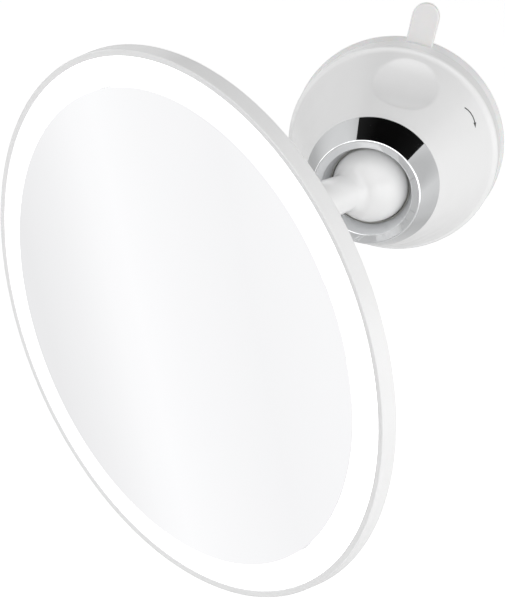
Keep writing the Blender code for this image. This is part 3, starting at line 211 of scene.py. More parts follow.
# Hub on the head's back, with the battery door and the switch
HUB_RADIUS = 0.04804
HUB_DEPTH = 0.02
HUB_FLOOR_DEPTH = 0.0183
HUB_FILLET = 0.003
COVER_FLOOR_DEPTH = COVER_SKIRT_DEPTH - COVER_WALL
COVER_STEP_RADIUS = HUB_RADIUS + COVER_STEP_WIDTH
BAY_DROP = 0.014
DOOR_WIDTH = 0.0532
DOOR_HEIGHT = 0.0359
DOOR_THICKNESS = 0.0015
DOOR_FILLET = 0.003
DOOR_EDGE_ROUNDING = 0.0004
DOOR_RIB_COUNT = 5
DOOR_RIB_PITCH = 0.0024
DOOR_RIB_WIDTH = 0.0011
DOOR_RIB_LENGTH = 0.016
DOOR_RIB_PROUD = 0.0004
DOOR_RIB_DROP = 0.005
DOOR_RIB_FILLET = DOOR_RIB_WIDTH / 2 - SEAT_GAP / 2
DOOR_RIB_ROUNDING = 0.0002
DOOR_NOTCH_WIDTH = 0.014
DOOR_NOTCH_DEPTH = 0.0028
DOOR_NOTCH_FILLET = DOOR_NOTCH_DEPTH / 2
SWITCH_DROP = 0.03945
KNOB_LENGTH = 0.0055
KNOB_WIDTH = 0.0034
KNOB_PROUD = 0.0013
KNOB_TRAVEL = 0.0036
KNOB_FILLET = 0.0004
KNOB_ROUNDING = KNOB_FILLET / 2
KNOB_RIB_COUNT = 4
KNOB_RIB_PITCH = 0.0011
KNOB_RIB_WIDTH = 0.0005
KNOB_RIB_HEIGHT = 0.0003
KNOB_RIB_FILLET = KNOB_RIB_WIDTH / 3
KNOB_RIB_ROUNDING = KNOB_RIB_WIDTH / 5

# Case screws and their bosses
BOSS_CIRCLE = 0.066
BOSS_RADIUS = 0.0036
CARRIER_BACK = 0.0055
CASE_SCREW_COUNT = 4
CASE_SCREW_START = pi / 4
CASE_SCREW_RADIUS = 0.0014
CASE_SCREW_HEAD_RADIUS = 0.0025
CASE_SCREW_HEAD_HEIGHT = 0.0013
CASE_SCREW_SEAT_DEPTH = 0.0078
CASE_SCREW_TIP_DEPTH = 0.0043
CROSS_SLOT_LENGTH = 0.003
CROSS_SLOT_WIDTH = 0.0007
CROSS_SLOT_DEPTH = 0.0008
CROSS_SLOT_FILLET = 0.0001
SCREW_HEAD_ROUNDING = 0.0003

# Colour of the light and of the lit ring's glow
WHITE = (1, 1, 1, 1)

# Patterns in the materials, all sizes as they are on the real thing
PATTERN_LOW = 0.35
PATTERN_HIGH = 0.65
PATCH_DETAIL = 3
GRAIN_DETAIL = 4
WHITE_FINISH = {
    "tone_spread": 0.008, "patch_size": 0.012, "roughness": (0.22, 0.27), "smear_size": 0.006,
    "grain_size": 0.0009, "grain_depth": 0.0000005,
}
MATTE_FINISH = {
    "tone_spread": 0.05, "patch_size": 0.008, "roughness": (0.45, 0.6), "smear_size": 0.004,
    "grain_size": 0.0004, "grain_depth": 0.00001,
}
METAL_FINISH = {
    "metallic": 1, "tone_spread": 0.12, "patch_size": 0.003, "roughness": (0.22, 0.4),
    "smear_size": 0.001, "grain_size": 0.0003, "grain_depth": 0.000004,
}
CHROME_FINISH = {
    "metallic": 1, "tone_spread": 0.01, "patch_size": 0.01, "roughness": (0.02, 0.05),
    "smear_size": 0.008, "grain_size": 0.003, "grain_depth": 0.0000006,
}
MIRROR_FINISH = {
    "metallic": 1, "tone_spread": 0.004, "patch_size": 0.04, "roughness": (0.008, 0.02),
    "smear_size": 0.03, "grain_size": 0.02, "grain_depth": 0.0000002,
}
SILICONE_FINISH = {
    "tone_spread": 0.03, "patch_size": 0.01, "roughness": (0.32, 0.45), "smear_size": 0.005,
    "grain_size": 0.0006, "grain_depth": 0.000004,
    "sockets": {"Subsurface Weight": 0.15, "Subsurface Scale": 0.002},
}
LIT_FINISH = {
    "tone_spread": 0.01, "patch_size": 0.01, "roughness": (0.5, 0.65), "smear_size": 0.005,
    "grain_size": 0.0003, "grain_depth": 0.000006,
    "sockets": {"Emission Color": WHITE, "Emission Strength": 1},
}
FOAM_FINISH = {
    "tone_spread": 0.4, "patch_size": 0.0012, "roughness": (0.85, 0.95), "smear_size": 0.002,
    "grain_size": 0.0005, "grain_depth": 0.00012,
}

# Colour and finish of every slot in the record
FINISHES = {
    "white_gloss": ((0.9, 0.9, 0.9), WHITE_FINISH),
    "white_matte": ((0.82, 0.82, 0.82), MATTE_FINISH),
    "nylon": ((0.75, 0.74, 0.7), MATTE_FINISH),
    "chrome": ((0.86, 0.87, 0.88), CHROME_FINISH),
    "steel": ((0.62, 0.62, 0.64), METAL_FINISH),
    "silicone": ((0.86, 0.86, 0.86), SILICONE_FINISH),
    "mirror": ((0.95, 0.95, 0.96), MIRROR_FINISH),
    "foam": ((0.2, 0.2, 0.2), FOAM_FINISH),
    "lit_diffuser": ((0.98, 0.98, 0.98), LIT_FINISH),
    "lamp_board": ((0.85, 0.87, 0.86), MATTE_FINISH),
    "cell_jacket": ((0.25, 0.28, 0.32), METAL_FINISH),
    "contact_metal": ((0.75, 0.6, 0.3), METAL_FINISH),
    "red_lead": ((0.6, 0.05, 0.04), MATTE_FINISH),
    "black": ((0.03, 0.03, 0.03), MATTE_FINISH),
}

# Studio: floor, and lamps by the direction that they shine from and their power in watts
AMBIENT_STRENGTH = 0.48
FLOOR_HEIGHT = -0.45
FLOOR_WIDTH = 24
FLOOR_TONE = 0.85
FLOOR_GLOW = 0.55
HEAD_CENTRE = (-0.0426, -0.1254, -0.032)
LAMP_DISTANCE = 1.4
LAMP_WIDTH = 1.2
LAMPS = [
    ("right", (1, 0, 0), 3.8),
    ("right_front", (1, -1, 0), 7.2),
    ("left", (-1, 0, 0), 4.4),
    ("top_front", (0, -1, 1), 3),
    ("top_left", (-1, 0, 1), 1.9),
]

# Cards that only metal and gloss reflect, with tones by their share of the width
CARD_STRENGTH = 3
COLLAR_CENTRE = (0, -0.05, 0)
COLLAR_CARDS = {
    "back_card": {
        "toward": (0, 1, 0), "across": (1, 0, 0), "distance": 0.4, "rise": 0.366, "size": (2.08, 1.63),
        "tones": [
            (0, 0.7), (0.163, 0.72), (0.192, 0.66), (0.221, 0.58), (0.25, 0.49), (0.292, 0.44),
            (0.308, 0.46), (0.317, 0.78), (0.34, 0.81), (0.379, 0.83), (0.404, 0.92), (0.419, 0.9),
            (0.437, 0.66), (0.481, 0.62), (0.552, 0.57), (0.596, 0.525), (0.65, 0.51), (0.71, 0.59),
            (0.775, 0.62), (0.84, 0.68), (0.894, 0.71), (0.923, 0.62), (0.952, 0.55), (1, 0.55),
        ],
    },
    "dark_card": {
        "toward": (0.087, 0.505, 0.86), "across": (-0.987, 0.03, 0.16), "distance": 0.35,
        "rise": -0.035, "size": (0.56, 0.42),
        "tones": [(0, 0.008), (0.4, 0.003), (0.7, 0.003), (1, 0.015)],
    },
    "bright_card": {
        "toward": (-0.1, -0.45, 0.88), "across": (0, -0.88, -0.45), "distance": 0.45,
        "rise": 0, "size": (0.36, 0.8),
        "tones": [(0, 0.8), (0.35, 2.2), (1, 2.2)],
    },
}
GLASS_CARD_PLACE = (-0.2182, -0.2, 0.2)
GLASS_CARD_TURN = radians(23.5)
GLASS_CARD_WIDTH = 0.393
GLASS_CARD_TONES = [
    (0.15, 0.875), (0.27, 0.935), (0.385, 1.01), (0.45, 1.03), (0.56, 1), (0.73, 0.965), (0.85, 0.985),
]

# Camera as solved from the photograph
CAMERA_PLACE = (0.04686, -0.397, 0.14622)
CAMERA_AHEAD = (-0.1976, 0.8483, -0.4912)
CAMERA_UP = (-0.2623, 0.437, 0.8603)
SENSOR_WIDTH_MM = 36
LENS_MM = 65.92

# Axes of the mount, the ball and the head
mount_axes = Matrix.Rotation(pi / 2, 4, "X")
head_turn = Euler((HEAD_NOD, -HEAD_YAW, 0)).to_matrix().to_4x4()
ball_axes = mount_axes @ Matrix.Translation((0, 0, BALL_HEIGHT)) @ head_turn
head_axes = ball_axes @ Matrix.Translation((0, -STEM_OFFSET, STEM_REACH))


def rounded(corners, closed=True):
    """Points of an outline whose corners are (x, z) or (x, z, fillet radius)."""
    points = []
    last = len(corners) - 1
    for index, corner in enumerate(corners):
        here = Vector(corner[:2])
        fillet = corner[2] if len(corner) == 3 else 0
        if fillet == 0 or (not closed and index in (0, last)):
            points.append(here)
            continue
        before = (Vector(corners[index - 1][:2]) - here).normalized()
        after = (Vector(corners[(index + 1) % len(corners)][:2]) - here).normalized()
        half = before.angle(after) / 2
        reach = fillet / tan(half)
        centre = here + (before + after).normalized() * fillet / sin(half)
        start = here + before * reach - centre
        sweep = start.angle_signed(here + after * reach - centre)
        for step in range(FILLET_STEPS + 1):
            points.append(centre + Matrix.Rotation(-sweep * step / FILLET_STEPS, 2) @ start)
    return points


def arc(height, radius, start, end, count):
    """Points (x, z) on a circle about (0, height), with angles measured up from +X."""
    angles = [start + (end - start) * step / count for step in range(count + 1)]
    return [(radius * cos(angle), height + radius * sin(angle)) for angle in angles]


def on_circle(radius, count, start, centre=(0, 0)):
    """Places (x, y) spread evenly on a circle."""
    angles = [start + 2 * pi * index / count for index in range(count)]
    return [(centre[0] + radius * cos(angle), centre[1] + radius * sin(angle)) for angle in angles]


def new_object(name, shape, axes):
    """An object at the origin whose mesh is drawn in these axes."""
    bmesh.ops.recalc_face_normals(shape, faces=shape.faces)
    mesh = bpy.data.meshes.new(name)
    shape.to_mesh(mesh)
    shape.free()
    mesh.transform(axes)
    made = bpy.data.objects.new(name, mesh)
    bpy.context.scene.collection.objects.link(made)
    return made


def add_turned(shape, corners, steps, closed=True, place=(0, 0, 0)):
    """Adds a profile turned about Z to a mesh and gives its rings of vertices, one for each point."""
    rings = []
    centre = Vector(place)
    for x, z in rounded(corners, closed):
        count = 1 if x < ON_AXIS else steps
        angles = [2 * pi * step / steps for step in range(count)]
        rings.append([shape.verts.new(centre + Vector((x * cos(a), x * sin(a), z))) for a in angles])
    pairs = len(rings) if closed else len(rings) - 1
    for index in range(pairs):
        upper = rings[index]
        lower = rings[(index + 1) % len(rings)]
        for step in range(steps):
            after = (step + 1) % steps
            around = [upper[step % len(upper)], lower[step % len(lower)]]
            around += [lower[after % len(lower)], upper[after % len(upper)]]
            corners_used = list(dict.fromkeys(around))
            if len(corners_used) > 2:
                shape.faces.new(corners_used)
    return rings


def outward_at(outline, index):
    """The outward direction at a point of a flat outline that runs clockwise."""
    before = (Vector(outline[index]) - Vector(outline[index - 1])).normalized()
    after = (Vector(outline[(index + 1) % len(outline)]) - Vector(outline[index])).normalized()
    along = (before + after).normalized()
    return Vector((-along.y, along.x))


def slab(name, outline, low, high, axes, rounding=0):
    """A plate between two heights with this outline, and with both its rims rounded."""
    shape = bmesh.new()
    turns = [pi / 2]
    if rounding:
        turns = [pi / 2 * step / FILLET_STEPS for step in range(FILLET_STEPS + 1)]
    layers = [(low + rounding * (1 - cos(turn)), rounding * (1 - sin(turn))) for turn in turns]
    layers += [(low + high - height, inset) for height, inset in reversed(layers)]
    rings = []
    for height, inset in layers:
        ring = [
            Vector(point) - outward_at(outline, index) * inset
            for index, point in enumerate(outline)
        ]
        rings.append([shape.verts.new((x, y, height)) for x, y in ring])
    count = len(outline)
    for lower, upper in zip(rings, rings[1:]):
        for step in range(count):
            after = (step + 1) % count
            shape.faces.new((lower[step], lower[after], upper[after], upper[step]))
    middle = sum((Vector(point) for point in outline), Vector((0, 0))) / count
    for ring, height in ((rings[0], low), (rings[-1], high)):
        hub = shape.verts.new((*middle, height))
        for step in range(count):
            shape.faces.new((ring[step], ring[(step + 1) % count], hub))
    return new_object(name, shape, axes)


def rectangle(width, height, fillet, centre=(0, 0)):
    """Points of a rectangle with round corners, clockwise."""
    x = width / 2
    y = height / 2
    points = rounded([(-x, y, fillet), (x, y, fillet), (x, -y, fillet), (-x, -y, fillet)])
    return [point + Vector(centre) for point in points]


def combined(target, tool, operation):
    """Joins another object to the target, or cuts it out, and removes that object."""
    step = target.modifiers.new("combined", "BOOLEAN")
    step.object = tool
    step.operation = operation
    step.solver = "EXACT"
    bpy.context.view_layer.update()
    result = target.evaluated_get(bpy.context.evaluated_depsgraph_get())
    mesh = bpy.data.meshes.new_from_object(result)
    target.modifiers.clear()
    target.data = mesh
    bpy.data.objects.remove(tool, do_unlink=True)


def pegs(name, radius, low, high, places, axes):
    """Upright round pegs at each (x, y) place."""
    shape = bmesh.new()
    for place in places:
        corners = [(0, high), (radius, high), (radius, low), (0, low)]
        add_turned(shape, corners, SCREW_STEPS, closed=False, place=(*place, 0))
    return new_object(name, shape, axes)


def turned(name, corners, axes, steps=ROUND_STEPS, closed=True):
    """A profile turned about Z."""
    shape = bmesh.new()
    add_turned(shape, corners, steps, closed)
    return new_object(name, shape, axes)


def dress(piece, surface, body, *nodes):
    """Gives a piece its material and body, and lets it stand for its CAD nodes."""
    piece.data.materials.clear()
    piece.data.materials.append(surface)
    piece.data.shade_smooth()
    piece.data.set_sharp_from_angle(angle=SHARP_ANGLE)
    even = piece.modifiers.new("even_shading", "WEIGHTED_NORMAL")
    even.keep_sharp = True
    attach(piece, body)
    if nodes:
        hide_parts(*nodes)


def suction_pad(surface):
    """The soft pad, with the release tab at its rim."""
    rim_inner = PAD_RADIUS - PAD_RIM_WIDTH
    corners = [
        (0, PAD_WEB_THICKNESS), (rim_inner - PAD_RIM_SLOPE, PAD_WEB_THICKNESS),
        (rim_inner, PAD_EDGE_THICKNESS),
        (PAD_RADIUS - PAD_EDGE_SLOPE, PAD_EDGE_THICKNESS, PAD_EDGE_FILLET),
        (PAD_RADIUS, PAD_LIP_THICKNESS, PAD_LIP_FILLET), (PAD_RADIUS, 0), (0, 0),
    ]
    pad = turned("soft_pad", corners, mount_axes, closed=False)
    half = TAB_WIDTH / 2
    end = PAD_RADIUS + TAB_REACH - half
    turns = [pi - pi * step / TAB_OUTLINE_STEPS for step in range(TAB_OUTLINE_STEPS + 1)]
    tip = [(half * cos(turn), end + half * sin(turn)) for turn in turns]
    outline = [(-half, PAD_RADIUS - TAB_ROOT), *tip, (half, PAD_RADIUS - TAB_ROOT)]
    top = PAD_EDGE_THICKNESS - SEAT_GAP
    tab_axes = mount_axes @ Matrix.Rotation(-TAB_TURN, 4, "Z")
    tab = slab("tab", outline, top - TAB_THICKNESS, top, tab_axes, TAB_EDGE_ROUNDING)
    combined(pad, tab, "UNION")
    dress(pad, surface, "suction_mount", "suction_pad")


def cone_radius(height):
    """Radius of the dome's plain cone at a height."""
    share = (DOME_TOP_HEIGHT - height) / (DOME_TOP_HEIGHT - DOME_FLARE_HEIGHT)
    return DOME_TOP_RADIUS + share * (DOME_FLARE_RADIUS - DOME_TOP_RADIUS)


cone_lean = atan2(DOME_FLARE_RADIUS - DOME_TOP_RADIUS, DOME_TOP_HEIGHT - DOME_FLARE_HEIGHT)


def hollow_dimple(vertex, bearing):
    """Lowers a vertex of the plain cone to the floor of the finger dimple at this bearing."""
    forth = Vector((sin(bearing), cos(bearing), 0))
    aside = Vector((cos(bearing), -sin(bearing), 0))
    axis = Vector((0, 0, 1))
    outward = forth * cos(cone_lean) + axis * sin(cone_lean)
    downhill = forth * sin(cone_lean) - axis * cos(cone_lean)
    middle = forth * cone_radius(DIMPLE_HEIGHT) + axis * DIMPLE_HEIGHT
    centre = middle + outward * (DIMPLE_BULGE - DIMPLE_DEPTH)
    reach = vertex.co - centre
    across = reach.dot(aside) / DIMPLE_HALF_WIDTH
    along = reach.dot(downhill) / DIMPLE_HALF_LENGTH
    floor = -DIMPLE_BULGE * sqrt(max(0, 1 - across * across - along * along))
    depth = reach.dot(outward) - floor
    vertex.co -= outward * (depth + sqrt(depth * depth + DIMPLE_SOFTNESS * DIMPLE_SOFTNESS)) / 2


def lock_dome(surface):
    """The dome, with its two finger dimples."""
    shares = [CONE_ROWS_SHARE * (row + 1) / CONE_ROWS for row in range(CONE_ROWS)]
    heights = [DOME_TOP_HEIGHT + share * (DOME_FLARE_HEIGHT - DOME_TOP_HEIGHT) for share in shares]
    head = [
        (WELL_RADIUS, SPIGOT_TOP), (SPIGOT_RADIUS, SPIGOT_TOP), (SPIGOT_RADIUS, DOME_TOP_HEIGHT),
        (DOME_TOP_RADIUS, DOME_TOP_HEIGHT, DOME_TOP_FILLET),
    ]
    corners = head + [(cone_radius(height), height) for height in heights] + [
        (DOME_FLARE_RADIUS, DOME_FLARE_HEIGHT, DOME_FLARE_FILLET),
        (DOME_RADIUS, DOME_SIDE_TOP, DOME_SIDE_FILLET),
        (DOME_RADIUS, DOME_BASE_HEIGHT), (DOME_SIDE_INNER_RADIUS, DOME_BASE_HEIGHT),
        (DOME_SIDE_INNER_RADIUS, DOME_SIDE_INSIDE_TOP),
        (DOME_FLARE_RADIUS - DOME_WALL, DOME_FLARE_HEIGHT),
        (SPIGOT_RADIUS, DOME_TOP_HEIGHT - DOME_CROWN_THICKNESS), (SPIGOT_RADIUS, DOME_FLOOR_TOP),
        (DOME_FLOOR_RADIUS, DOME_FLOOR_TOP), (DOME_FLOOR_RADIUS, DOME_FLOOR_HEIGHT),
        (DOME_FLOOR_HOLE_RADIUS, DOME_FLOOR_HEIGHT), (DOME_FLOOR_HOLE_RADIUS, DOME_FLOOR_TOP),
        (WELL_RADIUS, DOME_FLOOR_TOP),
    ]
    shape = bmesh.new()
    rings = add_turned(shape, corners, DOME_STEPS)
    first = len(head) + FILLET_STEPS
    for ring in rings[first:first + CONE_ROWS]:
        for vertex in ring:
            hollow_dimple(vertex, DIMPLE_TURN)
            hollow_dimple(vertex, DIMPLE_TURN + pi)
    dress(new_object("dome", shape, mount_axes), surface, "lock_dome", "lock_dome")


def arrow_place(share, lift):
    """A point over the arrow's middle line, which bows as a parabola, at a share of its length."""
    angle = ARROW_START + share * (ARROW_END - ARROW_START)
    height = ARROW_HEIGHT - ARROW_BOW * 4 * share * (1 - share)
    outward = Vector((cos(cone_lean) * sin(angle), cos(cone_lean) * cos(angle), sin(cone_lean)))
    radius = cone_radius(height)
    return Vector((radius * sin(angle), radius * cos(angle), height)) + outward * lift


def arrow_section(share, half_width):
    """Four corners of the arrow's mark across its middle line."""
    low = arrow_place(share, -ARROW_SINK)
    high = arrow_place(share, ARROW_PROUD)
    ahead = arrow_place(share + ARROW_AHEAD_SHARE, ARROW_PROUD) - high
    side = ahead.cross(high - low).normalized() * half_width
    return [low - side, high - side, high + side, low + side]


def turning_arrow(surface):
    """The plain arrow on the dome that shows which way to lock it."""
    neck = 1 - ARROW_HEAD_SHARE
    shaft = [(neck * step / ARROW_STEPS, ARROW_WIDTH / 2) for step in range(ARROW_STEPS + 1)]
    head = [(neck, ARROW_HEAD_WIDTH / 2), (1, ARROW_TIP_WIDTH / 2)]
    shape = bmesh.new()
    for line in (shaft, head):
        sections = [[shape.verts.new(point) for point in arrow_section(*entry)] for entry in line]
        for here, there in zip(sections, sections[1:]):
            for corner in range(len(here)):
                after = (corner + 1) % len(here)
                shape.faces.new((here[corner], here[after], there[after], there[corner]))
        shape.faces.new(sections[0])
        shape.faces.new(sections[-1])
    dress(new_object("turning_arrow", shape, mount_axes), surface, "lock_dome")


def chrome_collar(surface):
    """The collar round the ball, from its foot up to its lip."""
    corners = [
        (COLLAR_LIP_RADIUS - COLLAR_LIP_WIDTH, COLLAR_TOP - COLLAR_LIP_DROP, COLLAR_LIP_FILLET),
        (COLLAR_LIP_RADIUS, COLLAR_TOP, COLLAR_LIP_FILLET),
        (COLLAR_FOOT_RADIUS, COLLAR_FOOT_HEIGHT + COLLAR_FOOT_EDGE, COLLAR_FOOT_FILLET),
        (COLLAR_FOOT_RADIUS, COLLAR_FOOT_HEIGHT, COLLAR_FOOT_FILLET),
        (SPIGOT_RADIUS + SEAT_GAP, COLLAR_FOOT_HEIGHT),
        (SPIGOT_RADIUS + SEAT_GAP, COLLAR_SHOULDER_HEIGHT),
        (COLLAR_BOWL_RADIUS, COLLAR_SHOULDER_HEIGHT),
        (COLLAR_BOWL_RADIUS, COLLAR_SHOULDER_HEIGHT + COLLAR_BOWL_EDGE),
    ]
    dress(turned("collar", corners, mount_axes), surface, "lock_dome", "chrome_collar")


def ball(surface):
    """The ball, bored for the neck's spigot and for its screw."""
    bore_floor = sqrt(BALL_RADIUS**2 - BALL_BORE_RADIUS**2) - BALL_BORE_DEPTH
    head_bore = BALL_SCREW_HEAD_RADIUS + SEAT_GAP
    shank_bore = BALL_SCREW_RADIUS + SEAT_GAP
    top_angle = acos(BALL_BORE_RADIUS / BALL_RADIUS)
    low_angle = -acos(head_bore / BALL_RADIUS)
    corners = [
        *arc(0, BALL_RADIUS, top_angle, low_angle, BALL_ARC_STEPS), (head_bore, -BALL_SCREW_SEAT),
        (shank_bore, -BALL_SCREW_SEAT), (shank_bore, bore_floor), (BALL_BORE_RADIUS, bore_floor),
    ]
    dress(turned("swivel_ball", corners, ball_axes, BALL_STEPS), surface, "ball", "ball")


def stem(surface):
    """The neck, flared to its flange and rounded where it meets the ball."""
    spigot = BALL_BORE_RADIUS - SEAT_GAP
    socket = BALL_RADIUS + STEM_ROOT_GAP
    root_height = sqrt((socket + STEM_ROOT_FILLET) ** 2 - (STEM_RADIUS + STEM_ROOT_FILLET) ** 2)
    root_angle = atan2(root_height, STEM_RADIUS + STEM_ROOT_FILLET)
    flow = [
        (STEM_RADIUS + STEM_ROOT_FILLET + x, z)
        for x, z in arc(root_height, STEM_ROOT_FILLET, pi, pi + root_angle, 2 * FILLET_STEPS)
    ]
    spigot_end = sqrt(BALL_RADIUS**2 - BALL_BORE_RADIUS**2) - BALL_BORE_DEPTH + SEAT_GAP
    screw_bore = BALL_SCREW_RADIUS + SEAT_GAP
    top = STEM_REACH - HUB_DEPTH - SEAT_GAP
    flange_bottom = top - STEM_FLANGE_THICKNESS
    saddle = arc(0, socket, root_angle, acos(spigot / socket), FILLET_STEPS)
    corners = [
        (0, top), (STEM_FLANGE_RADIUS, top), (STEM_FLANGE_RADIUS, flange_bottom, STEM_FLANGE_FILLET),
        (STEM_TOP_RADIUS, flange_bottom - STEM_FLARE_HEIGHT, STEM_FLARE_FILLET),
        *flow, *saddle[1:], (spigot, spigot_end), (screw_bore, spigot_end),
        (screw_bore, STEM_SPIGOT_HOLE_END), (0, STEM_SPIGOT_HOLE_END),
    ]
    neck = turned("neck", corners, ball_axes, BALL_STEPS, closed=False)
    places = on_circle(STEM_SCREW_CIRCLE, STEM_SCREW_COUNT, STEM_SCREW_START)
    low = top - STEM_SCREW_BITE - SEAT_GAP
    bore = STEM_SCREW_RADIUS + SEAT_GAP
    holes = pegs("neck_holes", bore, low, top + SEAT_GAP / 2, places, ball_axes)
    combined(neck, holes, "DIFFERENCE")
    dress(neck, surface, "head", "stem")


def front_bezel(surface):
    """The rim round the lit ring, with its crest."""
    inner_wall = HEAD_RADIUS - BEZEL_WALL
    crest_radius = HEAD_RADIUS - BEZEL_SIDE_SLOPE
    corners = [
        (LIT_OUTER_RADIUS, 0, BEZEL_LIP_FILLET),
        (crest_radius, BEZEL_CREST_RISE, BEZEL_CREST_FILLET),
        (HEAD_RADIUS, -BEZEL_DEPTH, BEZEL_BACK_FILLET), (inner_wall, -BEZEL_DEPTH),
        (inner_wall, -BEZEL_LIP_THICKNESS), (LIT_OUTER_RADIUS, -BEZEL_LIP_THICKNESS),
    ]
    dress(turned("bezel", corners, head_axes), surface, "head", "front_bezel")


def looking_glass(surface):
    """The silvered glass, with a fine bevel at its edge."""
    back = GLASS_RECESS + GLASS_THICKNESS
    bevel = GLASS_RADIUS - GLASS_EDGE_BEVEL
    corners = [
        (0, -GLASS_RECESS), (bevel, -GLASS_RECESS),
        (GLASS_RADIUS, -GLASS_RECESS - GLASS_EDGE_BEVEL), (GLASS_RADIUS, -back), (0, -back),
    ]
    glass = turned("looking_glass", corners, head_axes, closed=False)
    dress(glass, surface, "head", "mirror_glass")


def lit_ring(surface):
    """The frosted ring between the glass and the bezel."""
    inner = GLASS_RADIUS + SEAT_GAP
    face_outer = LIT_OUTER_RADIUS - SEAT_GAP
    flange_outer = HEAD_RADIUS - BEZEL_WALL - SEAT_GAP
    flange_top = -BEZEL_LIP_THICKNESS - SEAT_GAP
    flange_bottom = flange_top - DIFFUSER_FLANGE_THICKNESS
    root = flange_outer - COVER_TONGUE_WALL - SEAT_GAP
    back = DIFFUSER_RECESS + DIFFUSER_THICKNESS
    corners = [
        (inner, -DIFFUSER_RECESS, DIFFUSER_FILLET), (face_outer, -DIFFUSER_RECESS, DIFFUSER_FILLET),
        (face_outer, flange_top), (flange_outer, flange_top), (flange_outer, flange_bottom),
        (root, flange_bottom), (root, -back), (inner, -back),
    ]
    dress(turned("lit_ring", corners, head_axes), surface, "head", "light_diffuser")


def cover_inside_depth(radius):
    """Depth of the back cover's inner face between its step and its skirt."""
    share = (COVER_SKIRT_RADIUS - radius) / (COVER_SKIRT_RADIUS - COVER_STEP_RADIUS)
    return COVER_FLOOR_DEPTH + share * (COVER_STEP_DEPTH - COVER_SKIRT_DEPTH)


def back_cover(surface):
    """The back cover, with its bosses, the battery bay's opening and the switch's slot."""
    tongue_outer = HEAD_RADIUS - BEZEL_WALL - SEAT_GAP
    tongue_inner = tongue_outer - COVER_TONGUE_WALL
    tongue_top = BEZEL_LIP_THICKNESS + 2 * SEAT_GAP + DIFFUSER_FLANGE_THICKNESS
    rim_depth = BEZEL_DEPTH + SEAT_GAP
    step_inner = COVER_STEP_RADIUS - COVER_WALL / 2
    corners = [
        (tongue_inner, -tongue_top), (tongue_outer, -tongue_top), (tongue_outer, -rim_depth),
        (COVER_RIM_RADIUS, -rim_depth, BEZEL_BACK_FILLET),
        (COVER_RIM_RADIUS, -rim_depth - BEZEL_LIP_THICKNESS, COVER_EDGE_FILLET),
        (HEAD_RADIUS - COVER_EDGE_INSET, -COVER_EDGE_DEPTH, COVER_EDGE_FILLET),
        (COVER_SKIRT_RADIUS, -COVER_SKIRT_DEPTH),
        (COVER_STEP_RADIUS, -COVER_STEP_DEPTH, COVER_STEP_FILLET),
        (HUB_RADIUS, -HUB_DEPTH, HUB_FILLET), (0, -HUB_DEPTH), (0, -HUB_FLOOR_DEPTH),
        (HUB_RADIUS - COVER_WALL / 2, -HUB_FLOOR_DEPTH),
        (step_inner, -cover_inside_depth(COVER_STEP_RADIUS)),
        (COVER_SKIRT_RADIUS, -COVER_FLOOR_DEPTH), (tongue_inner, -COVER_FLOOR_DEPTH),
    ]
    cover = turned("cover", corners, head_axes)
    places = on_circle(BOSS_CIRCLE, CASE_SCREW_COUNT, CASE_SCREW_START)
    boss_top = -CARRIER_BACK - SEAT_GAP
    boss_root = -cover_inside_depth(BOSS_CIRCLE) - COVER_WALL / 2
    below = -HUB_DEPTH - CUT_OVERRUN
    through = -HUB_FLOOR_DEPTH + CUT_OVERRUN
    shank = CASE_SCREW_RADIUS + SEAT_GAP
    sink = CASE_SCREW_HEAD_RADIUS + SEAT_GAP
    stem_foot = (0, STEM_OFFSET)
    stem_places = on_circle(STEM_SCREW_CIRCLE, STEM_SCREW_COUNT, STEM_SCREW_START, stem_foot)
    combined(cover, pegs("bosses", BOSS_RADIUS, boss_root, boss_top, places, head_axes), "UNION")
    opening_width = DOOR_WIDTH + 2 * SEAT_GAP
    opening_height = DOOR_HEIGHT + 2 * SEAT_GAP
    opening = rectangle(opening_width, opening_height, DOOR_FILLET, (0, -BAY_DROP))
    slot_length = KNOB_LENGTH + KNOB_TRAVEL + 4 * SEAT_GAP
    slot = rectangle(slot_length, KNOB_WIDTH + 2 * SEAT_GAP, KNOB_FILLET, (0, -SWITCH_DROP))
    cuts = [
        pegs("shanks", shank, below, boss_top + CUT_OVERRUN, places, head_axes),
        pegs("sinks", sink, below, -CASE_SCREW_SEAT_DEPTH, places, head_axes),
        pegs("stem_holes", STEM_SCREW_RADIUS + SEAT_GAP, below, through, stem_places, head_axes),
        slab("opening", opening, below, through, head_axes),
        slab("slot", slot, below, through, head_axes),
    ]
    for tool in cuts:
        combined(cover, tool, "DIFFERENCE")
    dress(cover, surface, "head", "back_cover")


def case_screws(surface):
    """The four screws in the back cover, with crossed slots in their heads."""
    seat = -CASE_SCREW_SEAT_DEPTH - SEAT_GAP
    head = seat - CASE_SCREW_HEAD_HEIGHT
    corners = [
        (0, -CASE_SCREW_TIP_DEPTH), (CASE_SCREW_RADIUS, -CASE_SCREW_TIP_DEPTH),
        (CASE_SCREW_RADIUS, seat), (CASE_SCREW_HEAD_RADIUS, seat),
        (CASE_SCREW_HEAD_RADIUS, head, SCREW_HEAD_ROUNDING), (0, head),
    ]
    level = (CROSS_SLOT_LENGTH, CROSS_SLOT_WIDTH)
    upright = (CROSS_SLOT_WIDTH, CROSS_SLOT_LENGTH)
    places = on_circle(BOSS_CIRCLE, CASE_SCREW_COUNT, CASE_SCREW_START)
    for index, place in enumerate(places):
        shape = bmesh.new()
        add_turned(shape, corners, SCREW_STEPS, closed=False, place=(*place, 0))
        screw = new_object(f"cross_screw_{index + 1}", shape, head_axes)
        for width, height in (level, upright):
            outline = rectangle(width, height, CROSS_SLOT_FILLET, place)
            tool = slab("slot", outline, head - CUT_OVERRUN, head + CROSS_SLOT_DEPTH, head_axes)
            combined(screw, tool, "DIFFERENCE")
        dress(screw, surface, "head", f"case_screw_{index + 1}")


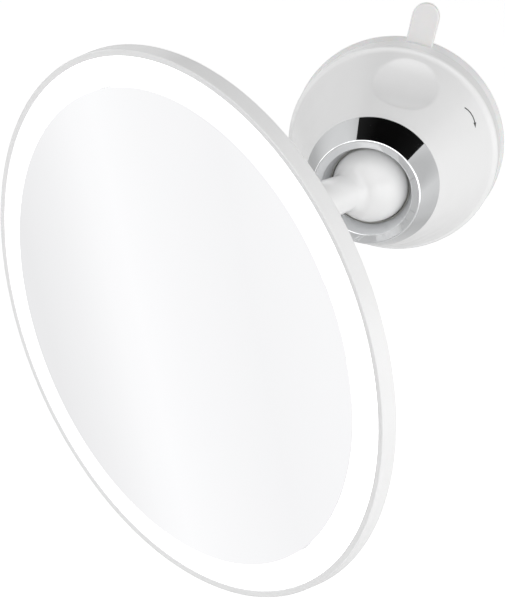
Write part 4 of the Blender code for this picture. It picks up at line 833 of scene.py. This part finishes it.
def battery_door(surface):
    """The battery cover, with grip ribs and a notch for a finger nail at its free edge."""
    outline = rectangle(DOOR_WIDTH, DOOR_HEIGHT, DOOR_FILLET, (0, -BAY_DROP))
    outer = -HUB_DEPTH
    middle = outer + DOOR_THICKNESS / 2
    inner = outer + DOOR_THICKNESS
    door = slab("battery_cover", outline, outer, inner, head_axes, DOOR_EDGE_ROUNDING)
    free_edge = DOOR_HEIGHT / 2 - BAY_DROP
    notch = rectangle(DOOR_NOTCH_WIDTH, 2 * DOOR_NOTCH_DEPTH, DOOR_NOTCH_FILLET, (0, free_edge))
    combined(door, slab("notch", notch, outer - CUT_OVERRUN, middle, head_axes), "DIFFERENCE")
    for index in range(DOOR_RIB_COUNT):
        y = free_edge - DOOR_RIB_DROP - index * DOOR_RIB_PITCH
        rib = rectangle(DOOR_RIB_LENGTH, DOOR_RIB_WIDTH, DOOR_RIB_FILLET, (0, y))
        ridge = slab("rib", rib, outer - DOOR_RIB_PROUD, middle, head_axes, DOOR_RIB_ROUNDING)
        combined(door, ridge, "UNION")
    dress(door, surface, "battery_door", "battery_door")


def switch_knob(surface):
    """The slide switch's knob, with grip ribs across its top."""
    outer = -HUB_DEPTH - KNOB_PROUD
    top = -HUB_DEPTH + COVER_WALL + SEAT_GAP
    middle = KNOB_TRAVEL / 2
    body = rectangle(KNOB_LENGTH, KNOB_WIDTH, KNOB_FILLET, (middle, -SWITCH_DROP))
    knob = slab("slide_knob", body, outer + KNOB_RIB_HEIGHT, top, head_axes, KNOB_ROUNDING)
    rib_length = KNOB_WIDTH - 2 * KNOB_FILLET
    for index in range(KNOB_RIB_COUNT):
        x = middle + (index - (KNOB_RIB_COUNT - 1) / 2) * KNOB_RIB_PITCH
        rib = rectangle(KNOB_RIB_WIDTH, rib_length, KNOB_RIB_FILLET, (x, -SWITCH_DROP))
        ridge = slab("rib", rib, outer, top - KNOB_PROUD, head_axes, KNOB_RIB_ROUNDING)
        combined(knob, ridge, "UNION")
    dress(knob, surface, "power_switch", "switch_knob")


def noise(tree, coordinates, size, detail):
    """A soft pattern whose patches are about this long."""
    made = tree.nodes.new("ShaderNodeTexNoise")
    made.inputs["Scale"].default_value = 1 / size
    made.inputs["Detail"].default_value = detail
    tree.links.new(coordinates, made.inputs["Vector"])
    return made.outputs["Fac"]


def spread(tree, factor, low, high):
    """Stretches the middle of a pattern between two values."""
    made = tree.nodes.new("ShaderNodeMapRange")
    made.inputs["From Min"].default_value = PATTERN_LOW
    made.inputs["From Max"].default_value = PATTERN_HIGH
    made.inputs["To Min"].default_value = low
    made.inputs["To Max"].default_value = high
    tree.links.new(factor, made.inputs["Value"])
    return made.outputs["Result"]


def finished_material(name, colour, finish):
    """A material whose tone, gloss and fine relief vary over the surface at their real scale."""
    made = bpy.data.materials.new(name)
    made.use_nodes = True
    tree = made.node_tree
    shader = tree.nodes["Principled BSDF"]
    shader.inputs["Metallic"].default_value = finish.get("metallic", 0)
    coordinates = tree.nodes.new("ShaderNodeTexCoord").outputs["Object"]
    tones = tree.nodes.new("ShaderNodeMix")
    tones.data_type = "RGBA"
    darkest = 1 - finish["tone_spread"]
    tones.inputs["A"].default_value = (*(channel * darkest for channel in colour), 1)
    tones.inputs["B"].default_value = (*colour, 1)
    patches = noise(tree, coordinates, finish["patch_size"], PATCH_DETAIL)
    tree.links.new(spread(tree, patches, 0, 1), tones.inputs["Factor"])
    tree.links.new(tones.outputs["Result"], shader.inputs["Base Color"])
    smears = noise(tree, coordinates, finish["smear_size"], PATCH_DETAIL)
    low, high = finish["roughness"]
    tree.links.new(spread(tree, smears, low, high), shader.inputs["Roughness"])
    relief = tree.nodes.new("ShaderNodeBump")
    relief.inputs["Strength"].default_value = 1
    relief.inputs["Distance"].default_value = finish["grain_depth"]
    grain = noise(tree, coordinates, finish["grain_size"], GRAIN_DETAIL)
    tree.links.new(grain, relief.inputs["Height"])
    tree.links.new(relief.outputs["Normal"], shader.inputs["Normal"])
    for socket, value in finish.get("sockets", {}).items():
        shader.inputs[socket].default_value = value
    return made


def seen_directly(tree):
    """1 for rays from the camera or by way of gloss or glass, and 0 for the rest."""
    path = tree.nodes.new("ShaderNodeLightPath")
    seen = path.outputs["Is Camera Ray"]
    for ray in ("Is Glossy Ray", "Is Transmission Ray"):
        either = tree.nodes.new("ShaderNodeMath")
        either.operation = "MAXIMUM"
        tree.links.new(seen, either.inputs[0])
        tree.links.new(path.outputs[ray], either.inputs[1])
        seen = either.outputs["Value"]
    return seen


def pale_world():
    """Even light from all round, and plain white where it is seen."""
    world = bpy.data.worlds.new("studio")
    bpy.context.scene.world = world
    world.use_nodes = True
    tree = world.node_tree
    ambient = tree.nodes["Background"]
    ambient.inputs["Strength"].default_value = AMBIENT_STRENGTH
    ambient.inputs["Color"].default_value = WHITE
    white = tree.nodes.new("ShaderNodeBackground")
    mixed = tree.nodes.new("ShaderNodeMixShader")
    white.inputs["Color"].default_value = WHITE
    tree.links.new(seen_directly(tree), mixed.inputs["Fac"])
    tree.links.new(ambient.outputs["Background"], mixed.inputs[1])
    tree.links.new(white.outputs["Background"], mixed.inputs[2])
    tree.links.new(mixed.outputs["Shader"], tree.nodes["World Output"].inputs["Surface"])


def floor_surface():
    """A pale floor that takes a faint shadow and looks white where it is lit."""
    made = bpy.data.materials.new("studio_floor")
    made.use_nodes = True
    tree = made.node_tree
    matte = tree.nodes["Principled BSDF"]
    matte.inputs["Base Color"].default_value = (FLOOR_TONE, FLOOR_TONE, FLOOR_TONE, 1)
    matte.inputs["Roughness"].default_value = 1
    glow = tree.nodes.new("ShaderNodeEmission")
    glow.inputs["Strength"].default_value = FLOOR_GLOW
    lit = tree.nodes.new("ShaderNodeAddShader")
    path = tree.nodes.new("ShaderNodeLightPath")
    mixed = tree.nodes.new("ShaderNodeMixShader")
    tree.links.new(matte.outputs["BSDF"], lit.inputs[0])
    tree.links.new(glow.outputs["Emission"], lit.inputs[1])
    tree.links.new(path.outputs["Is Camera Ray"], mixed.inputs["Fac"])
    tree.links.new(matte.outputs["BSDF"], mixed.inputs[1])
    tree.links.new(lit.outputs["Shader"], mixed.inputs[2])
    tree.links.new(mixed.outputs["Shader"], tree.nodes["Material Output"].inputs["Surface"])
    return made


def card(name, axes, width, height, made_of):
    """A flat sheet of the studio, in the XY plane of its own axes."""
    shape = bmesh.new()
    outline = rectangle(width, height, 0)
    shape.faces.new([shape.verts.new((*point, 0)) for point in outline])
    made = new_object(name, shape, Matrix.Identity(4))
    made.matrix_world = axes
    made.data.materials.append(made_of)
    return made


def tone_card(name, axes, width, height, tones):
    """A card that only metal and gloss reflect, with its tones along its own X."""
    made_of = bpy.data.materials.new(name)
    made_of.use_nodes = True
    tree = made_of.node_tree
    tree.nodes.remove(tree.nodes["Principled BSDF"])
    parts = tree.nodes.new("ShaderNodeSeparateXYZ")
    tree.links.new(tree.nodes.new("ShaderNodeTexCoord").outputs["Object"], parts.inputs["Vector"])
    share = tree.nodes.new("ShaderNodeMapRange")
    share.inputs["From Min"].default_value = -width / 2
    share.inputs["From Max"].default_value = width / 2
    tree.links.new(parts.outputs["X"], share.inputs["Value"])
    ramp = tree.nodes.new("ShaderNodeValToRGB")
    stops = ramp.color_ramp.elements
    ready = len(stops)
    for index, (place, tone) in enumerate(tones):
        stop = stops[index] if index < ready else stops.new(place)
        stop.position = place
        grey = tone / CARD_STRENGTH
        stop.color = (grey, grey, grey, 1)
    tree.links.new(share.outputs["Result"], ramp.inputs["Fac"])
    glow = tree.nodes.new("ShaderNodeEmission")
    glow.inputs["Strength"].default_value = CARD_STRENGTH
    tree.links.new(ramp.outputs["Color"], glow.inputs["Color"])
    tree.links.new(glow.outputs["Emission"], tree.nodes["Material Output"].inputs["Surface"])
    made = card(name, axes, width, height, made_of)
    made.visible_camera = False
    made.visible_diffuse = False
    made.visible_shadow = False
    made.visible_transmission = False


def facing_axes(centre, sheet):
    """Axes of a card that faces a centre from its distance, moved along its own Y by its rise."""
    normal = -Vector(sheet["toward"]).normalized()
    side = Vector(sheet["across"])
    side = (side - normal * side.dot(normal)).normalized()
    turn = Matrix((side, normal.cross(side), normal)).transposed().to_4x4()
    place = Matrix.Translation(Vector(centre) - normal * sheet["distance"])
    return place @ turn @ Matrix.Translation((0, sheet["rise"], 0))


def lamp(name, direction, power):
    """A square soft lamp that shines on the head from a direction."""
    light = bpy.data.lights.new(name, "AREA")
    light.shape = "SQUARE"
    light.size = LAMP_WIDTH
    light.energy = power
    made = bpy.data.objects.new(name, light)
    bpy.context.scene.collection.objects.link(made)
    toward = Vector(direction).normalized()
    made.location = Vector(HEAD_CENTRE) + toward * LAMP_DISTANCE
    made.rotation_euler = toward.to_track_quat("Z", "Y").to_euler()


def studio():
    """The floor, the light, and the cards that the collar and the looking glass reflect."""
    floor_axes = Matrix.Translation((0, 0, FLOOR_HEIGHT))
    card("floor", floor_axes, FLOOR_WIDTH, FLOOR_WIDTH, floor_surface())
    pale_world()
    for name, direction, power in LAMPS:
        lamp(name, direction, power)
    for name, sheet in COLLAR_CARDS.items():
        tone_card(name, facing_axes(COLLAR_CENTRE, sheet), *sheet["size"], sheet["tones"])
    glass_turn = Matrix.Rotation(GLASS_CARD_TURN, 4, "Z")
    glass_axes = head_axes @ Matrix.Translation(GLASS_CARD_PLACE) @ glass_turn
    tone_card("glass_card", glass_axes, GLASS_CARD_WIDTH, GLASS_CARD_WIDTH, GLASS_CARD_TONES)


def camera():
    """A camera where the photograph was taken from."""
    ahead = Vector(CAMERA_AHEAD).normalized()
    up = Vector(CAMERA_UP)
    right = ahead.cross(up).normalized()
    up = right.cross(ahead)
    made = bpy.data.objects.new("camera", bpy.data.cameras.new("camera"))
    bpy.context.scene.collection.objects.link(made)
    made.data.sensor_width = SENSOR_WIDTH_MM
    made.data.lens = LENS_MM
    turn = Matrix((right, up, -ahead)).transposed().to_4x4()
    made.matrix_world = Matrix.Translation(CAMERA_PLACE) @ turn
    bpy.context.scene.camera = made


def object_pieces():
    """Gives every CAD node its finish, and adds the pieces that stand for those in view."""
    slot_names = {node: node.active_material.name for node in frame["nodes"].values()}
    for plain_material in list(bpy.data.materials):
        bpy.data.materials.remove(plain_material)
    made = {}
    for name, (colour, finish) in FINISHES.items():
        made[name] = finished_material(name, colour, finish)
    for node, slot_name in slot_names.items():
        node.material_slots[0].material = made[slot_name]
    suction_pad(made["silicone"])
    lock_dome(made["white_gloss"])
    turning_arrow(made["black"])
    chrome_collar(made["chrome"])
    ball(made["white_gloss"])
    stem(made["white_gloss"])
    front_bezel(made["white_gloss"])
    looking_glass(made["mirror"])
    lit_ring(made["lit_diffuser"])
    back_cover(made["white_gloss"])
    case_screws(made["steel"])
    battery_door(made["white_gloss"])
    switch_knob(made["white_gloss"])


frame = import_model()
for leftover in list(bpy.data.objects):
    if leftover.type in ("CAMERA", "LIGHT") or leftover.name == "Cube":
        bpy.data.objects.remove(leftover, do_unlink=True)
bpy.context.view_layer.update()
object_pieces()
studio()
camera()
bpy.context.scene.view_settings.view_transform = "Standard"
